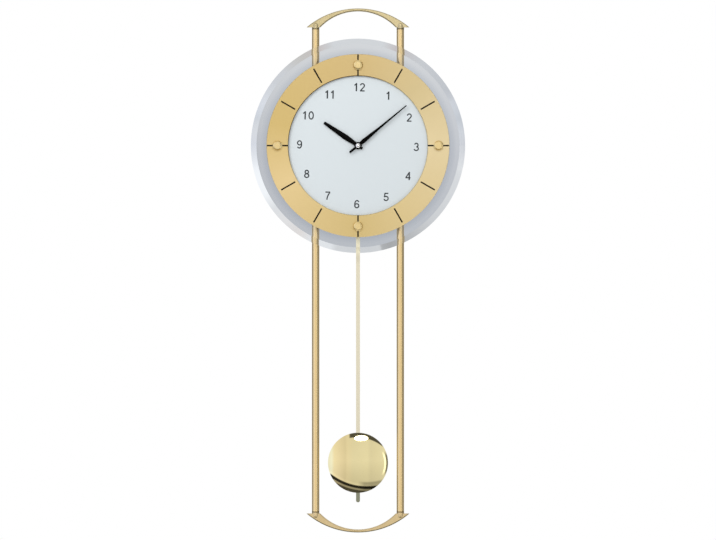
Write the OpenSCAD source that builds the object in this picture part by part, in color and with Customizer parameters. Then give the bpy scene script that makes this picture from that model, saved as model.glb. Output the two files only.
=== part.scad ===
// Radio-controlled pendulum wall clock, in millimetres.
// Origin: centre of the hanging eye on the wall plane. X right, Y into the wall, Z up.
// A size whose name ends in _z is a height above the hand axis.

/* [Hanger] */
// Distance from the circle of the knobs down to the hanging eye
hanger_drop = 22; // [21:1:36]
// Diameter of the eye for the wall nail
eye_d = 8; // [5:0.5:9]
// Width of the hanger bracket
hanger_w = 28; // [24:1:34]
// Sheet thickness of the hanger bracket
hanger_t = 1.5; // [1:0.1:2]
// Height of the bracket's shelf above the eye
shelf_rise = 8; // [7:0.5:9.5]
// Height of the flange that is riveted to the carrier plate
flange_h = 9; // [8:0.5:10.5]
// Distance between the two rivets
rivet_pitch = 18; // [14:1:19]

/* [Tubes] */
// Outer diameter of the two upright tubes
rod_d = 8.5; // [8:0.5:11]
// Wall thickness of the tubes
rod_wall = 1; // [0.8:0.1:1.5]
// Distance between the tube centres
rod_spacing = 97; // [96:1:108]
// Length of each tube
rod_len = 554; // [535:1:620]
// Height of the tubes' upper ends
rod_top_z = 134.5; // [128:0.5:145]
// Length of the plugs in the tube ends
plug_len = 16; // [15:1:24]

/* [Bows] */
// Height of a bow's crown beyond the tube ends
bow_rise = 23; // [20:0.5:30]
// Radius of a bow's outer arc
bow_outer_r = 91; // [82:1:96]
// Radius of a bow's inner arc
bow_inner_r = 60; // [52:1:64]
// Thickness of a bow at its crown
bow_crown = 3.2; // [3:0.1:5]
// Depth of a bow from front to back
bow_t = 6.5; // [5:0.5:8]
// Bevel along a bow's edges
bow_bevel = 1.1; // [0.3:0.1:1.2]
// Distance from the tube end to the bow's flat edge
bow_seam = 1.5; // [0.5:0.5:3]
// Length of the socket boss
boss_len = 8; // [7:0.5:10]

/* [Wall spacers] */
// Diameter of the pillars behind the tubes
pillar_d = 6; // [5:0.5:8]
// Thickness of the rubber pads
pad_t = 2; // [1:0.5:3]
// Height of the pillars above the lower tube ends
pillar_rise = 13.5; // [10.5:0.5:14]

/* [Carrier plate] */
// Width of the round plate, and of the dial sheet, outside the circle of the knobs
plate_edge = 6; // [4.5:0.5:9]
// Thickness of the plate
carrier_t = 1.5; // [1:0.1:2]
// Height of the upper tube clamps above the hand axis, and of the lower ones below it
clamp_z = 60; // [50:1:64]
// Width of a tube clamp
clamp_w = 12; // [10:1:18]
// Sheet thickness of a tube clamp
clamp_t = 1.2; // [0.8:0.1:1.5]
// Half length of a tube clamp
clamp_reach = 11.5; // [11.2:0.1:12]
// Thickness of the felt ring behind the glass
gasket_t = 0.5; // [0.5:0.1:1]
// Width of the felt ring
gasket_w = 13; // [10:0.5:16]

/* [Glass] */
// Diameter of the glass disc
glass_d = 245; // [230:1:260]
// Thickness of the glass
glass_t = 5; // [4:0.5:6]
// Width of the polished facet
facet_w = 6.5; // [4:0.5:9]
// Depth of the facet at the rim
facet_depth = 2; // [1:0.1:2.5]
// Diameter of the glass's centre hole
glass_hole_d = 24; // [20:1:40]

/* [Dial and ring] */
// Thickness of the dial sheet
dial_t = 0.8; // [0.5:0.1:1.2]
// Outer diameter of the hour ring
ring_outer_d = 209; // [205:1:222]
// Width of the hour ring from rim to rim
ring_w = 25; // [22:0.5:30]
// Thickness of the hour ring
ring_t = 2; // [1.5:0.1:3]
// Gap between the dial and the ring
ring_lift = 1.2; // [0.8:0.1:2]
// Length of the short hour ticks
tick_len = 18.5; // [10:0.5:20]
// Width of the ticks
tick_w = 1.7; // [1:0.1:2.5]
// Depth of the groove that holds a tick
tick_depth = 0.3; // [0.2:0.1:0.6]

/* [Knobs] */
// Diameter of a knob's head
knob_d = 11; // [9:0.5:14]
// Height of a knob's head
knob_h = 6; // [4:0.5:8]
// Diameter of a knob's threaded stud
knob_stud_d = 3; // [2.5:0.1:3.5]
// Width across the flats of the nuts
knob_nut_af = 5.5; // [5:0.1:6]
// Height of the nuts
knob_nut_t = 2.4; // [2:0.1:3]

/* [Hands] */
// Time shown, in minutes after twelve
shown_time = 608.4; // [0:0.1:719]
// Gap between the minute hand's tip and the ring's inner rim
minute_gap = 7.5; // [5:0.5:24]
// Greatest width of the minute hand
minute_w = 4.8; // [3:0.1:6]
// Width of the minute hand just short of its middle
minute_waist_w = 2.5; // [1.5:0.1:3]
// Length of the minute hand's tail
minute_tail = 12.5; // [8:0.5:15]
// Length of the hour hand from its axis
hour_len = 47; // [35:1:55]
// Greatest width of the hour hand
hour_w = 6.4; // [4:0.1:8]
// Width of the hour hand's blunt tip
hour_tip_w = 3.4; // [2:0.1:4]
// Thickness of a hand at its crease
blade_t = 1; // [0.7:0.1:1.3]
// Gap between the dial and the hour hand
hand_gap = 1.5; // [1:0.1:2.5]

/* [Movement case] */
// Width of the case
case_w = 72; // [72:0.5:73.5]
// Height of the case's upper edge
case_top_z = 34; // [34:0.5:38]
// Depth of the case below the hand axis
case_drop = 66; // [66:0.5:72]
// Thickness of the case's side walls
case_wall = 2; // [1.5:0.1:2.2]
// Thickness of the case's front wall
front_wall = 1.5; // [1.3:0.1:1.8]
// Thickness of the rear cover
cover_t = 2; // [1.5:0.1:2.2]
// Gap between the rear cover and the wall
case_gap = 1; // [0.6:0.1:1.2]

/* [Wheel train] */
// Thickness of the wheels
wheel_t = 1; // [0.8:0.1:1.2]
// Distance from one wheel layer to the next
layer_pitch = 1.6; // [1.5:0.05:1.7]
// Diameter of the minute arbor
minute_arbor_d = 3; // [2.8:0.1:3.2]
// Outer diameter of the hour tube
hour_tube_d = 5; // [4.6:0.1:5.4]
// Diameter of the thin arbors and posts
arbor_d = 1.2; // [1:0.1:1.4]
// Thickness of the train bridge
bridge_t = 1.5; // [1.2:0.1:1.7]

/* [Battery] */
// Diameter of the cell
battery_d = 14.2; // [13.8:0.1:14.5]
// Length of the cell without its nub
battery_len = 49; // [48:0.1:49.2]

/* [Push buttons] */
// Diameter of a button
button_d = 4.8; // [4:0.1:5]
// Travel of a button
button_travel = 1; // [0.5:0.1:1.2]

/* [Pendulum] */
// Height of the lever's pivot
pivot_z = 18; // [16:0.5:18.5]
// Swing to each side in degrees
swing = 5; // [2:0.5:5]
// Width of the lever
lever_w = 6; // [5:0.5:7]
// Thickness of the lever
lever_t = 3; // [2.9:0.1:3.4]
// Width of the pendulum strip
strip_w = 4.5; // [3:0.1:5.5]
// Thickness of the pendulum strip
strip_t = 1; // [0.8:0.1:1.2]
// Diameter of the bob
bob_d = 69; // [60:1:72]
// Depth of the bob's centre below the hand axis
bob_drop = 363.5; // [330:0.5:364]
// Height of the bob's front shell
bob_front_h = 7; // [6:0.5:8]
// Height of the bob's back shell
bob_back_h = 4.5; // [4:0.5:5]
// Sheet thickness of the bob's shells
bob_shell_t = 0.6; // [0.4:0.1:0.8]
// Length of the strip below the bob
stub_len = 11; // [8:0.5:14]
// Gap between the bob and the wall
wall_gap = 3.5; // [3:0.5:6]
// Gap between the bob and the tubes
bob_gap = 3.5; // [2:0.5:6]

/* [Fits] */
// Radial clearance of running parts
run_fit = 0.05; // [0.03:0.01:0.08]
// Radial clearance of fixed parts
still_fit = 0.02; // [0.01:0.01:0.05]

/* [Hidden] */
$fn = 64;

// Colours
gold = "#d8bd82";
polished_brass = "#e3d096";
silver = "#d9dee2";
steel = "#8d9196";
black = "#1e1e20";
copper = "#b4662f";

// Depths, from the wall to the front; the front is at negative Y
bob_mid_y = -(wall_gap + bob_back_h);
rod_rear_y = bob_mid_y - bob_front_h - bob_gap;
rod_y = rod_rear_y - rod_d / 2;
carrier_rear_y = rod_rear_y - rod_d;
carrier_front_y = carrier_rear_y - carrier_t;
glass_rear_y = carrier_front_y - gasket_t;
glass_front_y = glass_rear_y - glass_t;
dial_front_y = glass_front_y - dial_t;
ring_rear_y = dial_front_y - ring_lift;
ring_front_y = ring_rear_y - ring_t;

// Hand stack on the hour tube and the minute arbor
hub_t = blade_t + 0.2;
hour_rear_y = dial_front_y - hand_gap;
tube_end_y = hour_rear_y - hub_t - 0.1;
minute_rear_y = tube_end_y - 0.6;
arbor_end_y = minute_rear_y - hub_t;
hand_thread_len = 1.3;

// Circle of the knobs, in the middle of the ring, and what hangs on it
knob_pitch_r = (ring_outer_d - ring_w) / 2;
eye_z = knob_pitch_r - hanger_drop;
carrier_r = knob_pitch_r + plate_edge;

// Hanger
rivet_z = eye_z + shelf_rise + flange_h / 2 + 0.5;
rivet_d = 3;

// Tubes and bows
rod_x = rod_spacing / 2;
rod_bottom_z = rod_top_z - rod_len;
plug_d = rod_d - 2 * rod_wall - 2 * still_fit;
stud_d = 4;
stud_in_plug = 6;
stud_in_boss = 5;
crown_z = bow_rise;
pillar_z = rod_bottom_z + pillar_rise;

// Carrier plate and what is screwed to it
clamp_screw_x = 8.6;
clamp_screw_d = 2.5;
clamp_head_d = 5;
clamp_head_t = 1.5;
gasket_outer_r = carrier_r - 1;
spacer_r = 4;
glass_r = glass_d / 2;
ring_outer_r = ring_outer_d / 2;
ring_inner_r = ring_outer_r - ring_w;
tick_proud = 0.1;
tick_mid_r = knob_pitch_r;
minute_len = ring_inner_r - minute_gap;

// Movement case
case_bottom_z = -case_drop;
case_front_y = carrier_rear_y;
case_in_y = case_front_y + front_wall;
cover_rear_y = -case_gap;
cover_front_y = cover_rear_y - cover_t;
case_in_x = case_w / 2 - case_wall;
case_in_top_z = case_top_z - case_wall;
case_in_bottom_z = case_bottom_z + case_wall;
small_screw_d = 2;
small_head_d = 3.8;
small_head_t = 1.2;
case_boss_r = 2.6;
case_boss_in = 2.2;
bush_d = 10;
bush_collar_d = 12.4;
bush_collar_t = 0.7;
bush_washer_t = 0.5;
bush_nut_af = 14;
bush_nut_t = 2.5;

// Lever, bridge and board planes
strip_rear_y = bob_mid_y + strip_t / 2;
strip_front_y = bob_mid_y - strip_t / 2;
lever_rear_y = strip_front_y;
lever_front_y = lever_rear_y - lever_t;
lever_gap = 0.6;
bridge_rear_y = lever_front_y - lever_gap;
bridge_front_y = bridge_rear_y - bridge_t;
drive_coil_t = 2.4;
board_rear_y = bridge_rear_y - drive_coil_t;
board_t = 1.2;
board_front_y = board_rear_y - board_t;

// Wheel train: teeth are fixed by the twelve to one ratio of the hands
cannon_teeth = 12;
setting_teeth = 36;
setting_pinion_teeth = 10;
hour_teeth = 40;
minute_teeth = 48;
intermediate_pinion_teeth = 8;
intermediate_teeth = 40;
rotor_teeth = 8;
motion_mod = 0.5;
train_mod = 0.4;
setting_reach = motion_mod * (cannon_teeth + setting_teeth) / 2;
hour_mod = 2 * setting_reach / (setting_pinion_teeth + hour_teeth);
intermediate_reach = train_mod * (minute_teeth + intermediate_pinion_teeth) / 2;
rotor_reach = train_mod * (intermediate_teeth + rotor_teeth) / 2;
setting_dir = 45;
train_dir = 150;
setting_at = setting_reach * [cos(setting_dir), sin(setting_dir)];
intermediate_at = intermediate_reach * [cos(train_dir), sin(train_dir)];
rotor_at = intermediate_at + rotor_reach * [cos(train_dir), sin(train_dir)];
layer_gap = 0.3;
pinion_over = 0.2;
pivot_len = 0.9;
rear_pivot_d = 1.5;

// Motor
stator_left = -30;
stator_right = -11.5;
stator_top = 16;
stator_bottom = -14.5;
stator_leg = 3;
stator_t = 1;
stator_y = layer_y(4) + 0.9;
rotor_hole_r = 3.1;
rotor_magnet_r = 2.6;
motor_coil_d = 8;
motor_coil_z = stator_bottom + stator_leg / 2;

// Bridge, board and stator supports in the case
bridge_post_r = 2.5;
bridge_posts = [[-27, 20], [27, 20], [27, -2], [-20.5, -3]];
bridge_half_w = 31;
bridge_bottom_z = -6.5;
bridge_top_z = case_in_top_z - 0.5;
board_posts = [[-31, -55], [-31, -29], [8, -29.5]];
board_left = -33;
board_right = 10.5;
board_bottom = -57;
board_top = -27;
stator_posts = [[-28.5, 13], [-28.5, -12.5]];
support_r = 2;
support_pin_r = 0.7;
button_at = [[-27, -50], [-17, -50]];
switch_h = 3.6;
chip_at = [-24, -38];
chip_w = 8;
crystal_at = [-12, -31];
capacitor_at = [-16, -40];
drive_z = -45;
drive_coil_d = 18;

// Antenna
ferrite_z = 27;
ferrite_d = 7;
ferrite_len = 56;
antenna_coil_d = 8.8;
antenna_coil_len = 22;
ferrite_y = bridge_rear_y + antenna_coil_d / 2 + 0.1;
cradle_x = 22;

// Battery bay
bay_wall = 1.2;
bay_x = 18;
bay_top_z = -8;
battery_x = (bay_x + case_in_x) / 2;
battery_y = cover_front_y - 0.5 - battery_d / 2;
bay_floor_y = battery_y - battery_d / 2 - 0.2;
contact_t = 0.4;
nub_h = 1.2;
battery_top_z = bay_top_z - contact_t - nub_h;
battery_bottom_z = battery_top_z - battery_len;

// Pendulum
bob_z = -bob_drop;
pivot_d = 2;
lever_hub_r = 3.5;
peg_d = 2.8;
peg_z = case_bottom_z - 8;
eye_end_r = 3.5;
magnet_r = 4;
magnet_t = 2.5;
slot_half = (pivot_z - case_bottom_z) * tan(swing) + lever_w / 2 + 1.5;
strip_bottom_z = bob_z - bob_d / 2 - stub_len;
bob_rim = 1;

case_bosses = [[-case_in_x + case_boss_in, case_in_top_z - case_boss_in],
    [case_in_x - case_boss_in, case_in_top_z - case_boss_in],
    [-case_in_x + case_boss_in, case_in_bottom_z + case_boss_in],
    [bay_x - bay_wall - case_boss_in, case_in_bottom_z + case_boss_in]];
knob_angles = [0, 90, 180, 270];

// Front face of a wheel layer, counted from the case's front wall
function layer_y(n) = case_in_y + layer_gap + n * layer_pitch;

// Outline of a wheel or pinion: root, pitch, mid and tip points of each tooth.
// Half widths are shares of a quarter of the tooth pitch, so the teeth have play.
function tooth_shape(pinion) = pinion
    ? [[-1.3, 0.6], [0, 0.71], [0.41, 0.59], [0.75, 0.33]]
    : [[-1.25, 0.95], [0, 0.82], [0.5, 0.64], [0.9, 0.34]];
function gear_outline(teeth, mod, turn, pinion) = let (
        half = tooth_shape(pinion),
        sides = concat([for (p = half) [p[0], -p[1]]], [for (k = [3:-1:0]) half[k]]))
    [for (i = [0:teeth - 1], p = sides)
        let (r = teeth * mod / 2 + p[0] * mod, a = turn + (i + p[1] / 4) * 360 / teeth)
        r * [cos(a), sin(a)]];

// Turn of a wheel at direction dir from a driver whose own turn is given, so that they mesh
function meshed_turn(teeth, other_teeth, other_turn, dir) =
    dir + 180 - (0.5 - (dir - other_turn) * other_teeth / 360) * 360 / teeth;

minute_turn = 0;
intermediate_turn = meshed_turn(intermediate_pinion_teeth, minute_teeth, minute_turn, train_dir);
rotor_turn = meshed_turn(rotor_teeth, intermediate_teeth, intermediate_turn, train_dir);
cannon_turn = 0;
setting_turn = meshed_turn(setting_teeth, cannon_teeth, cannon_turn, setting_dir);
hour_turn = meshed_turn(hour_teeth, setting_pinion_teeth, setting_turn, setting_dir + 180);

// Moves a piece drawn round the hand axis to its place under the hanging eye
module from_axis() {
    translate([0, 0, -eye_z]) children();
}

module at(p) {
    translate([p[0], 0, p[1]]) children();
}

// Extrudes an X-Z drawing from y0, nearer the front, back to y1
module slab(y0, y1) {
    translate([0, y1, 0]) rotate([90, 0, 0]) linear_extrude(height = y1 - y0) children();
}

module shaft(y0, y1, d) {
    translate([0, y1, 0]) rotate([90, 0, 0]) cylinder(h = y1 - y0, d = d);
}

// Turns a profile of radius and height about the hand axis; height grows to the front
module turned(y_rear) {
    translate([0, y_rear, 0]) rotate([90, 0, 0]) rotate_extrude($fn = 128) children();
}

module hexagon(af) {
    circle(d = af * 2 / sqrt(3), $fn = 6);
}

module round_rect(x0, z0, x1, z1, r) {
    translate([x0 + r, z0]) square([x1 - x0 - 2 * r, z1 - z0]);
    translate([x0, z0 + r]) square([x1 - x0, z1 - z0 - 2 * r]);
    for (x = [x0 + r, x1 - r], z = [z0 + r, z1 - r]) translate([x, z]) circle(r = r);
}

module at_knobs() {
    for (a = knob_angles) at(knob_pitch_r * [sin(a), cos(a)]) children();
}

module at_rods() {
    for (side = [-1, 1]) translate([side * rod_x, 0, 0]) children();
}

// Tubes, plugs and studs

module tube() {
    difference() {
        cylinder(h = rod_len, d = rod_d);
        translate([0, 0, -1]) cylinder(h = rod_len + 2, d = rod_d - 2 * rod_wall);
        translate([0, 0, pillar_rise]) rotate([-90, 0, 0])
            cylinder(h = rod_d, d = stud_d + 2 * still_fit);
    }
}

module rod_left() {
    color(gold) from_axis() translate([-rod_x, rod_y, rod_bottom_z]) tube();
}

module rod_right() {
    color(gold) from_axis() translate([rod_x, rod_y, rod_bottom_z]) tube();
}

// A plug with its open end at height 0 and its body below
module plug() {
    difference() {
        translate([0, 0, -plug_len]) cylinder(h = plug_len, d = plug_d);
        translate([0, 0, -stud_in_plug - 0.5])
            cylinder(h = stud_in_plug + 1, d = stud_d + 2 * still_fit);
    }
}

module rod_plugs() {
    color(steel) from_axis() at_rods() translate([0, rod_y, 0]) {
        translate([0, 0, rod_top_z]) plug();
        difference() {
            translate([0, 0, rod_bottom_z]) mirror([0, 0, 1]) plug();
            translate([0, 0, pillar_z]) rotate([-90, 0, 0])
                cylinder(h = rod_d, d = stud_d + 2 * still_fit);
        }
    }
}

module bow_studs() {
    color(steel) from_axis() at_rods() translate([0, rod_y, 0]) {
        translate([0, 0, rod_top_z - stud_in_plug])
            cylinder(h = stud_in_plug + stud_in_boss, d = stud_d);
        translate([0, 0, rod_bottom_z - stud_in_boss])
            cylinder(h = stud_in_plug + stud_in_boss, d = stud_d);
    }
}

// Bows

// Disc with bevelled edges, centred on its own middle plane
module bevelled_disc(r) {
    turned(0) polygon([[0, -bow_t / 2], [r - bow_bevel, -bow_t / 2],
        [r, -bow_t / 2 + bow_bevel], [r, bow_t / 2 - bow_bevel],
        [r - bow_bevel, bow_t / 2], [0, bow_t / 2]]);
}

module flared_hole(r) {
    turned(0) polygon([[0, -bow_t], [r + bow_bevel + bow_t / 2, -bow_t],
        [r, -bow_t / 2 + bow_bevel], [r, bow_t / 2 - bow_bevel],
        [r + bow_bevel + bow_t / 2, bow_t], [0, bow_t]]);
}

// Round-nosed socket on a bow, which takes the tube's stud
module boss() {
    rotate_extrude() intersection() {
        union() {
            translate([0, boss_len - rod_d / 2]) circle(d = rod_d, $fn = 720);
            square([rod_d / 2, boss_len - rod_d / 2]);
        }
        square([rod_d / 2, boss_len]);
    }
}

// A bow above the height of the tube ends, which is 0
module bow() {
    difference() {
        union() {
            intersection() {
                difference() {
                    translate([0, 0, crown_z - bow_outer_r]) bevelled_disc(bow_outer_r);
                    translate([0, 0, crown_z - bow_crown - bow_inner_r])
                        flared_hole(bow_inner_r);
                }
                translate([-bow_outer_r, -bow_t, bow_seam])
                    cube([2 * bow_outer_r, 2 * bow_t, bow_rise]);
            }
            at_rods() boss();
        }
        at_rods() translate([0, 0, -1])
            cylinder(h = stud_in_boss + 1.3, d = stud_d + 2 * still_fit);
    }
}

module top_bow() {
    color(gold) from_axis() translate([0, rod_y, rod_top_z]) bow();
}

module bottom_bow() {
    color(gold) from_axis() translate([0, rod_y, rod_bottom_z]) mirror([0, 0, 1]) bow();
}

// Wall spacers

module wall_spacers() {
    color(gold) from_axis() at_rods() at([0, pillar_z]) {
        difference() {
            shaft(rod_y, -pad_t, pillar_d);
            translate([0, rod_y, -pillar_d]) cylinder(h = 2 * pillar_d, d = rod_d + 2 * still_fit);
        }
        shaft(rod_y, rod_rear_y + 1, stud_d);
        shaft(-pad_t - 0.5, -pad_t / 2, pillar_d / 3);
    }
}

module wall_pads() {
    color(black) from_axis() at_rods() at([0, pillar_z]) difference() {
        shaft(-pad_t, 0, pillar_d + 1);
        shaft(-pad_t - 1, -pad_t / 2 + still_fit, pillar_d / 3 + 2 * still_fit);
    }
}

// Hanger

module hanger_bracket() {
    shelf_z = shelf_rise;
    color(steel) difference() {
        translate([-hanger_w / 2, 0, 0]) {
            translate([0, -hanger_t, -shelf_rise - 1])
                cube([hanger_w, hanger_t, 2 * shelf_rise + 1 + hanger_t]);
            translate([0, carrier_rear_y, shelf_z])
                cube([hanger_w, -carrier_rear_y, hanger_t]);
            translate([0, carrier_rear_y, shelf_z])
                cube([hanger_w, hanger_t, flange_h]);
        }
        shaft(-2 * hanger_t, hanger_t, eye_d);
        for (side = [-1, 1]) at([side * rivet_pitch / 2, rivet_z - eye_z])
            shaft(carrier_rear_y - 1, carrier_rear_y + hanger_t + 1, rivet_d + 2 * still_fit);
    }
}

module hanger_rivets() {
    color(steel) from_axis() for (side = [-1, 1]) at([side * rivet_pitch / 2, rivet_z]) {
        shaft(carrier_front_y, carrier_rear_y + hanger_t + 0.5, rivet_d);
        shaft(carrier_rear_y + hanger_t, carrier_rear_y + hanger_t + 1.2, rivet_d * 1.7);
    }
}

// Carrier plate and clamps

module clamp_screw_spots() {
    for (side = [-1, 1], ear = [-1, 1], z = [-clamp_z, clamp_z])
        at([side * rod_x + ear * clamp_screw_x, z]) children();
}

module carrier_plate() {
    color(black) from_axis() difference() {
        shaft(carrier_front_y, carrier_rear_y, 2 * carrier_r);
        shaft(carrier_front_y - 1, carrier_rear_y + 1, bush_d + 2 * still_fit);
        at_knobs() shaft(carrier_front_y - 1, carrier_rear_y + 1, knob_stud_d + 0.2);
        clamp_screw_spots()
            shaft(carrier_front_y - 1, carrier_rear_y + 1, clamp_screw_d + 2 * still_fit);
        for (side = [-1, 1]) at([side * rivet_pitch / 2, rivet_z])
            shaft(carrier_front_y - 1, carrier_rear_y + 1, rivet_d + 2 * still_fit);
    }
}

module clamp_section() {
    difference() {
        union() {
            translate([0, rod_y]) circle(d = rod_d + 2 * clamp_t);
            translate([-clamp_reach, carrier_rear_y]) square([2 * clamp_reach, clamp_t]);
        }
        translate([0, rod_y]) circle(d = rod_d + 2 * still_fit);
        translate([-rod_d / 2, carrier_rear_y - rod_d]) square([rod_d, rod_d + rod_d / 2]);
        translate([-clamp_reach, carrier_rear_y - rod_d]) square([2 * clamp_reach, rod_d]);
    }
}

module rod_clamps() {
    color(steel) from_axis() difference() {
        at_rods() for (z = [-clamp_z, clamp_z]) translate([0, 0, z - clamp_w / 2])
            linear_extrude(height = clamp_w) clamp_section();
        clamp_screw_spots()
            shaft(carrier_rear_y - 1, carrier_rear_y + clamp_t + 1, clamp_screw_d + 2 * still_fit);
    }
}

// A pan-head screw whose head sits on the plane y and whose shank runs to the front
module screw(y, shank, d, head_d, head_t) {
    difference() {
        union() {
            shaft(y - shank, y + head_t / 2, d);
            shaft(y, y + head_t, head_d);
        }
        slab(y + head_t * 0.5, y + head_t + 1) {
            square([head_d * 0.6, head_d * 0.15], center = true);
            square([head_d * 0.15, head_d * 0.6], center = true);
        }
    }
}

module clamp_screws() {
    color(steel) from_axis() clamp_screw_spots()
        screw(carrier_rear_y + clamp_t, clamp_t + carrier_t - 0.1, clamp_screw_d,
            clamp_head_d, clamp_head_t);
}

// Glass, dial and ring

module glass_gasket() {
    color(black) from_axis() difference() {
        shaft(glass_rear_y, carrier_front_y, 2 * gasket_outer_r);
        shaft(glass_rear_y - 1, carrier_front_y + 1, 2 * (gasket_outer_r - gasket_w));
        at_knobs() shaft(glass_rear_y - 1, carrier_front_y + 1, knob_stud_d + 0.2);
    }
}

module glass_disc() {
    color("#bcc9cc", 0.5) from_axis() difference() {
        turned(glass_rear_y) polygon([[glass_hole_d / 2, 0], [glass_r, 0],
            [glass_r, glass_t - facet_depth], [glass_r - facet_w, glass_t],
            [glass_hole_d / 2, glass_t]]);
        at_knobs() shaft(glass_front_y - 1, glass_rear_y + 1, knob_stud_d + 2);
    }
}

module dial_plate() {
    color(silver) from_axis() difference() {
        shaft(dial_front_y, glass_front_y, 2 * carrier_r);
        shaft(dial_front_y - 1, glass_front_y + 1, hour_tube_d + 3);
        at_knobs() shaft(dial_front_y - 1, glass_front_y + 1, knob_stud_d + 0.2);
    }
}

module ring_spacers() {
    color(steel) from_axis() at_knobs() difference() {
        shaft(ring_rear_y, dial_front_y, 2 * spacer_r);
        shaft(ring_rear_y - 1, dial_front_y + 1, knob_stud_d + 0.2);
    }
}

// Ticks as drawn on the ring: short ones, and long ones that stop at the knobs
module tick_outlines() {
    for (h = [0:11]) rotate(-30 * h) {
        if (h % 3 == 0)
            difference() {
                translate([-tick_w / 2, ring_inner_r])
                    square([tick_w, ring_outer_r - ring_inner_r]);
                translate([0, knob_pitch_r]) circle(d = knob_d + 0.1);
            }
        else
            translate([-tick_w / 2, tick_mid_r - tick_len / 2]) square([tick_w, tick_len]);
    }
}

module hour_ring() {
    edge = 0.3;
    inner_edge = 0.6;
    color(gold) from_axis() difference() {
        turned(ring_rear_y) polygon([[ring_inner_r, 0], [ring_outer_r, 0],
            [ring_outer_r, ring_t - edge], [ring_outer_r - edge, ring_t],
            [ring_inner_r + inner_edge, ring_t], [ring_inner_r, ring_t - inner_edge]]);
        slab(ring_front_y - 1, ring_front_y + tick_depth) tick_outlines();
        at_knobs() shaft(ring_front_y - 1, ring_rear_y + 1, knob_stud_d + 0.2);
    }
}

module hour_markers() {
    color(black) from_axis() intersection() {
        slab(ring_front_y - tick_proud, ring_front_y + tick_depth) tick_outlines();
        shaft(ring_front_y - 1, ring_rear_y, 2 * (ring_outer_r - 0.3));
    }
}

module ring_knobs() {
    knob_r = knob_d / 2;
    color(gold) from_axis() at_knobs() {
        turned(ring_front_y) polygon([[0, 0], [knob_r, 0], [knob_r, knob_h * 0.6],
            [knob_r * 0.86, knob_h * 0.8], [knob_r * 0.74, knob_h * 0.84],
            [knob_r * 0.74, knob_h * 0.8], [knob_r * 0.66, knob_h * 0.8],
            [knob_r * 0.66, knob_h * 0.95], [knob_r * 0.58, knob_h], [0, knob_h]]);
        shaft(ring_front_y - 1, carrier_rear_y + knob_nut_t + 0.5, knob_stud_d);
    }
}

module knob_nuts() {
    color(steel) from_axis() at_knobs() difference() {
        slab(carrier_rear_y, carrier_rear_y + knob_nut_t) hexagon(knob_nut_af);
        shaft(carrier_rear_y - 1, carrier_rear_y + knob_nut_t + 1, knob_stud_d + 2 * still_fit);
    }
}

// Hands

// Outline of a hand that points up: neck, belly, waist, slim tip and tail. Belly and waist
// are [height, width].
module hand_outline(len, belly, waist, tip_w, neck_w, tail, tail_w) {
    for (side = [0, 1]) mirror([side, 0]) polygon([[0, -tail], [tail_w / 2, -tail],
        [neck_w / 2, 0], [belly[1] / 2, belly[0]], [waist[1] / 2, waist[0]],
        [tip_w / 2, len - tip_w / 2], [0, len - tip_w / 2]]);
    translate([0, len - tip_w / 2]) circle(d = tip_w);
}

// A creased blade whose rear face is at y
module blade(y, len, belly, waist, tip_w, neck_w, tail, tail_w) {
    edge_t = blade_t * 0.35;
    w = belly[1];
    intersection() {
        slab(y - blade_t - 1, y)
            hand_outline(len, belly, waist, tip_w, neck_w, tail, tail_w);
        translate([0, y, -tail - 1]) linear_extrude(height = len + tail + 2)
            polygon([[-w, 0], [w, 0], [w, -edge_t / 4], [w / 2, -edge_t], [0, -blade_t],
                [-w / 2, -edge_t], [-w, -edge_t / 4]]);
    }
}

module hour_hand() {
    color(black) from_axis() rotate([0, shown_time / 2, 0]) difference() {
        union() {
            blade(hour_rear_y, hour_len, [0.34 * hour_len, hour_w], [0.7 * hour_len, 4.8],
                hour_tip_w, 3.8, 6, 3);
            shaft(hour_rear_y - hub_t, hour_rear_y, hour_tube_d + 3.4);
        }
        shaft(hour_rear_y - hub_t - 1, hour_rear_y + 1, hour_tube_d + 2 * still_fit);
    }
}

module minute_hand() {
    color(black) from_axis() rotate([0, shown_time * 6, 0]) difference() {
        union() {
            blade(minute_rear_y, minute_len, [0.12 * minute_len, minute_w],
                [0.45 * minute_len, minute_waist_w], 1.2, 3.2, minute_tail, 2.4);
            shaft(arbor_end_y, minute_rear_y, minute_arbor_d + 3.2);
        }
        shaft(arbor_end_y - 1, minute_rear_y + 1, minute_arbor_d + 2 * still_fit);
    }
}

module hand_nut() {
    nut_r = (minute_arbor_d + 2.2) / 2;
    thread_d = minute_arbor_d - 1;
    color(black) from_axis() difference() {
        intersection() {
            shaft(arbor_end_y - 3, arbor_end_y, 2 * nut_r);
            translate([0, arbor_end_y + 1.2, 0]) sphere(r = 3.6);
        }
        shaft(arbor_end_y - hand_thread_len - 0.1, arbor_end_y + 1, thread_d + 2 * still_fit);
    }
}

// Movement case

module case_outline(inset) {
    round_rect(-case_w / 2 + inset, case_bottom_z + inset, case_w / 2 - inset,
        case_top_z - inset, 3.2 - inset);
}

module lever_slot() {
    translate([-slot_half, lever_front_y - 0.5, case_bottom_z - 1])
        cube([2 * slot_half, cover_front_y - lever_front_y + 0.6, case_wall + 2]);
}

module bay_walls() {
    translate([bay_x - bay_wall, bay_floor_y - bay_wall, case_in_bottom_z - 0.5])
        cube([bay_wall, cover_front_y - bay_floor_y + bay_wall,
            bay_top_z + bay_wall - case_in_bottom_z + 0.5]);
    translate([bay_x - 0.1, bay_floor_y - bay_wall, bay_top_z])
        cube([case_in_x - bay_x + 0.6, cover_front_y - bay_floor_y + bay_wall, bay_wall]);
    translate([bay_x - 0.1, bay_floor_y - bay_wall, case_in_bottom_z - 0.5])
        cube([case_in_x - bay_x + 0.6, bay_wall, bay_top_z - case_in_bottom_z + 0.6]);
}

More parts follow.
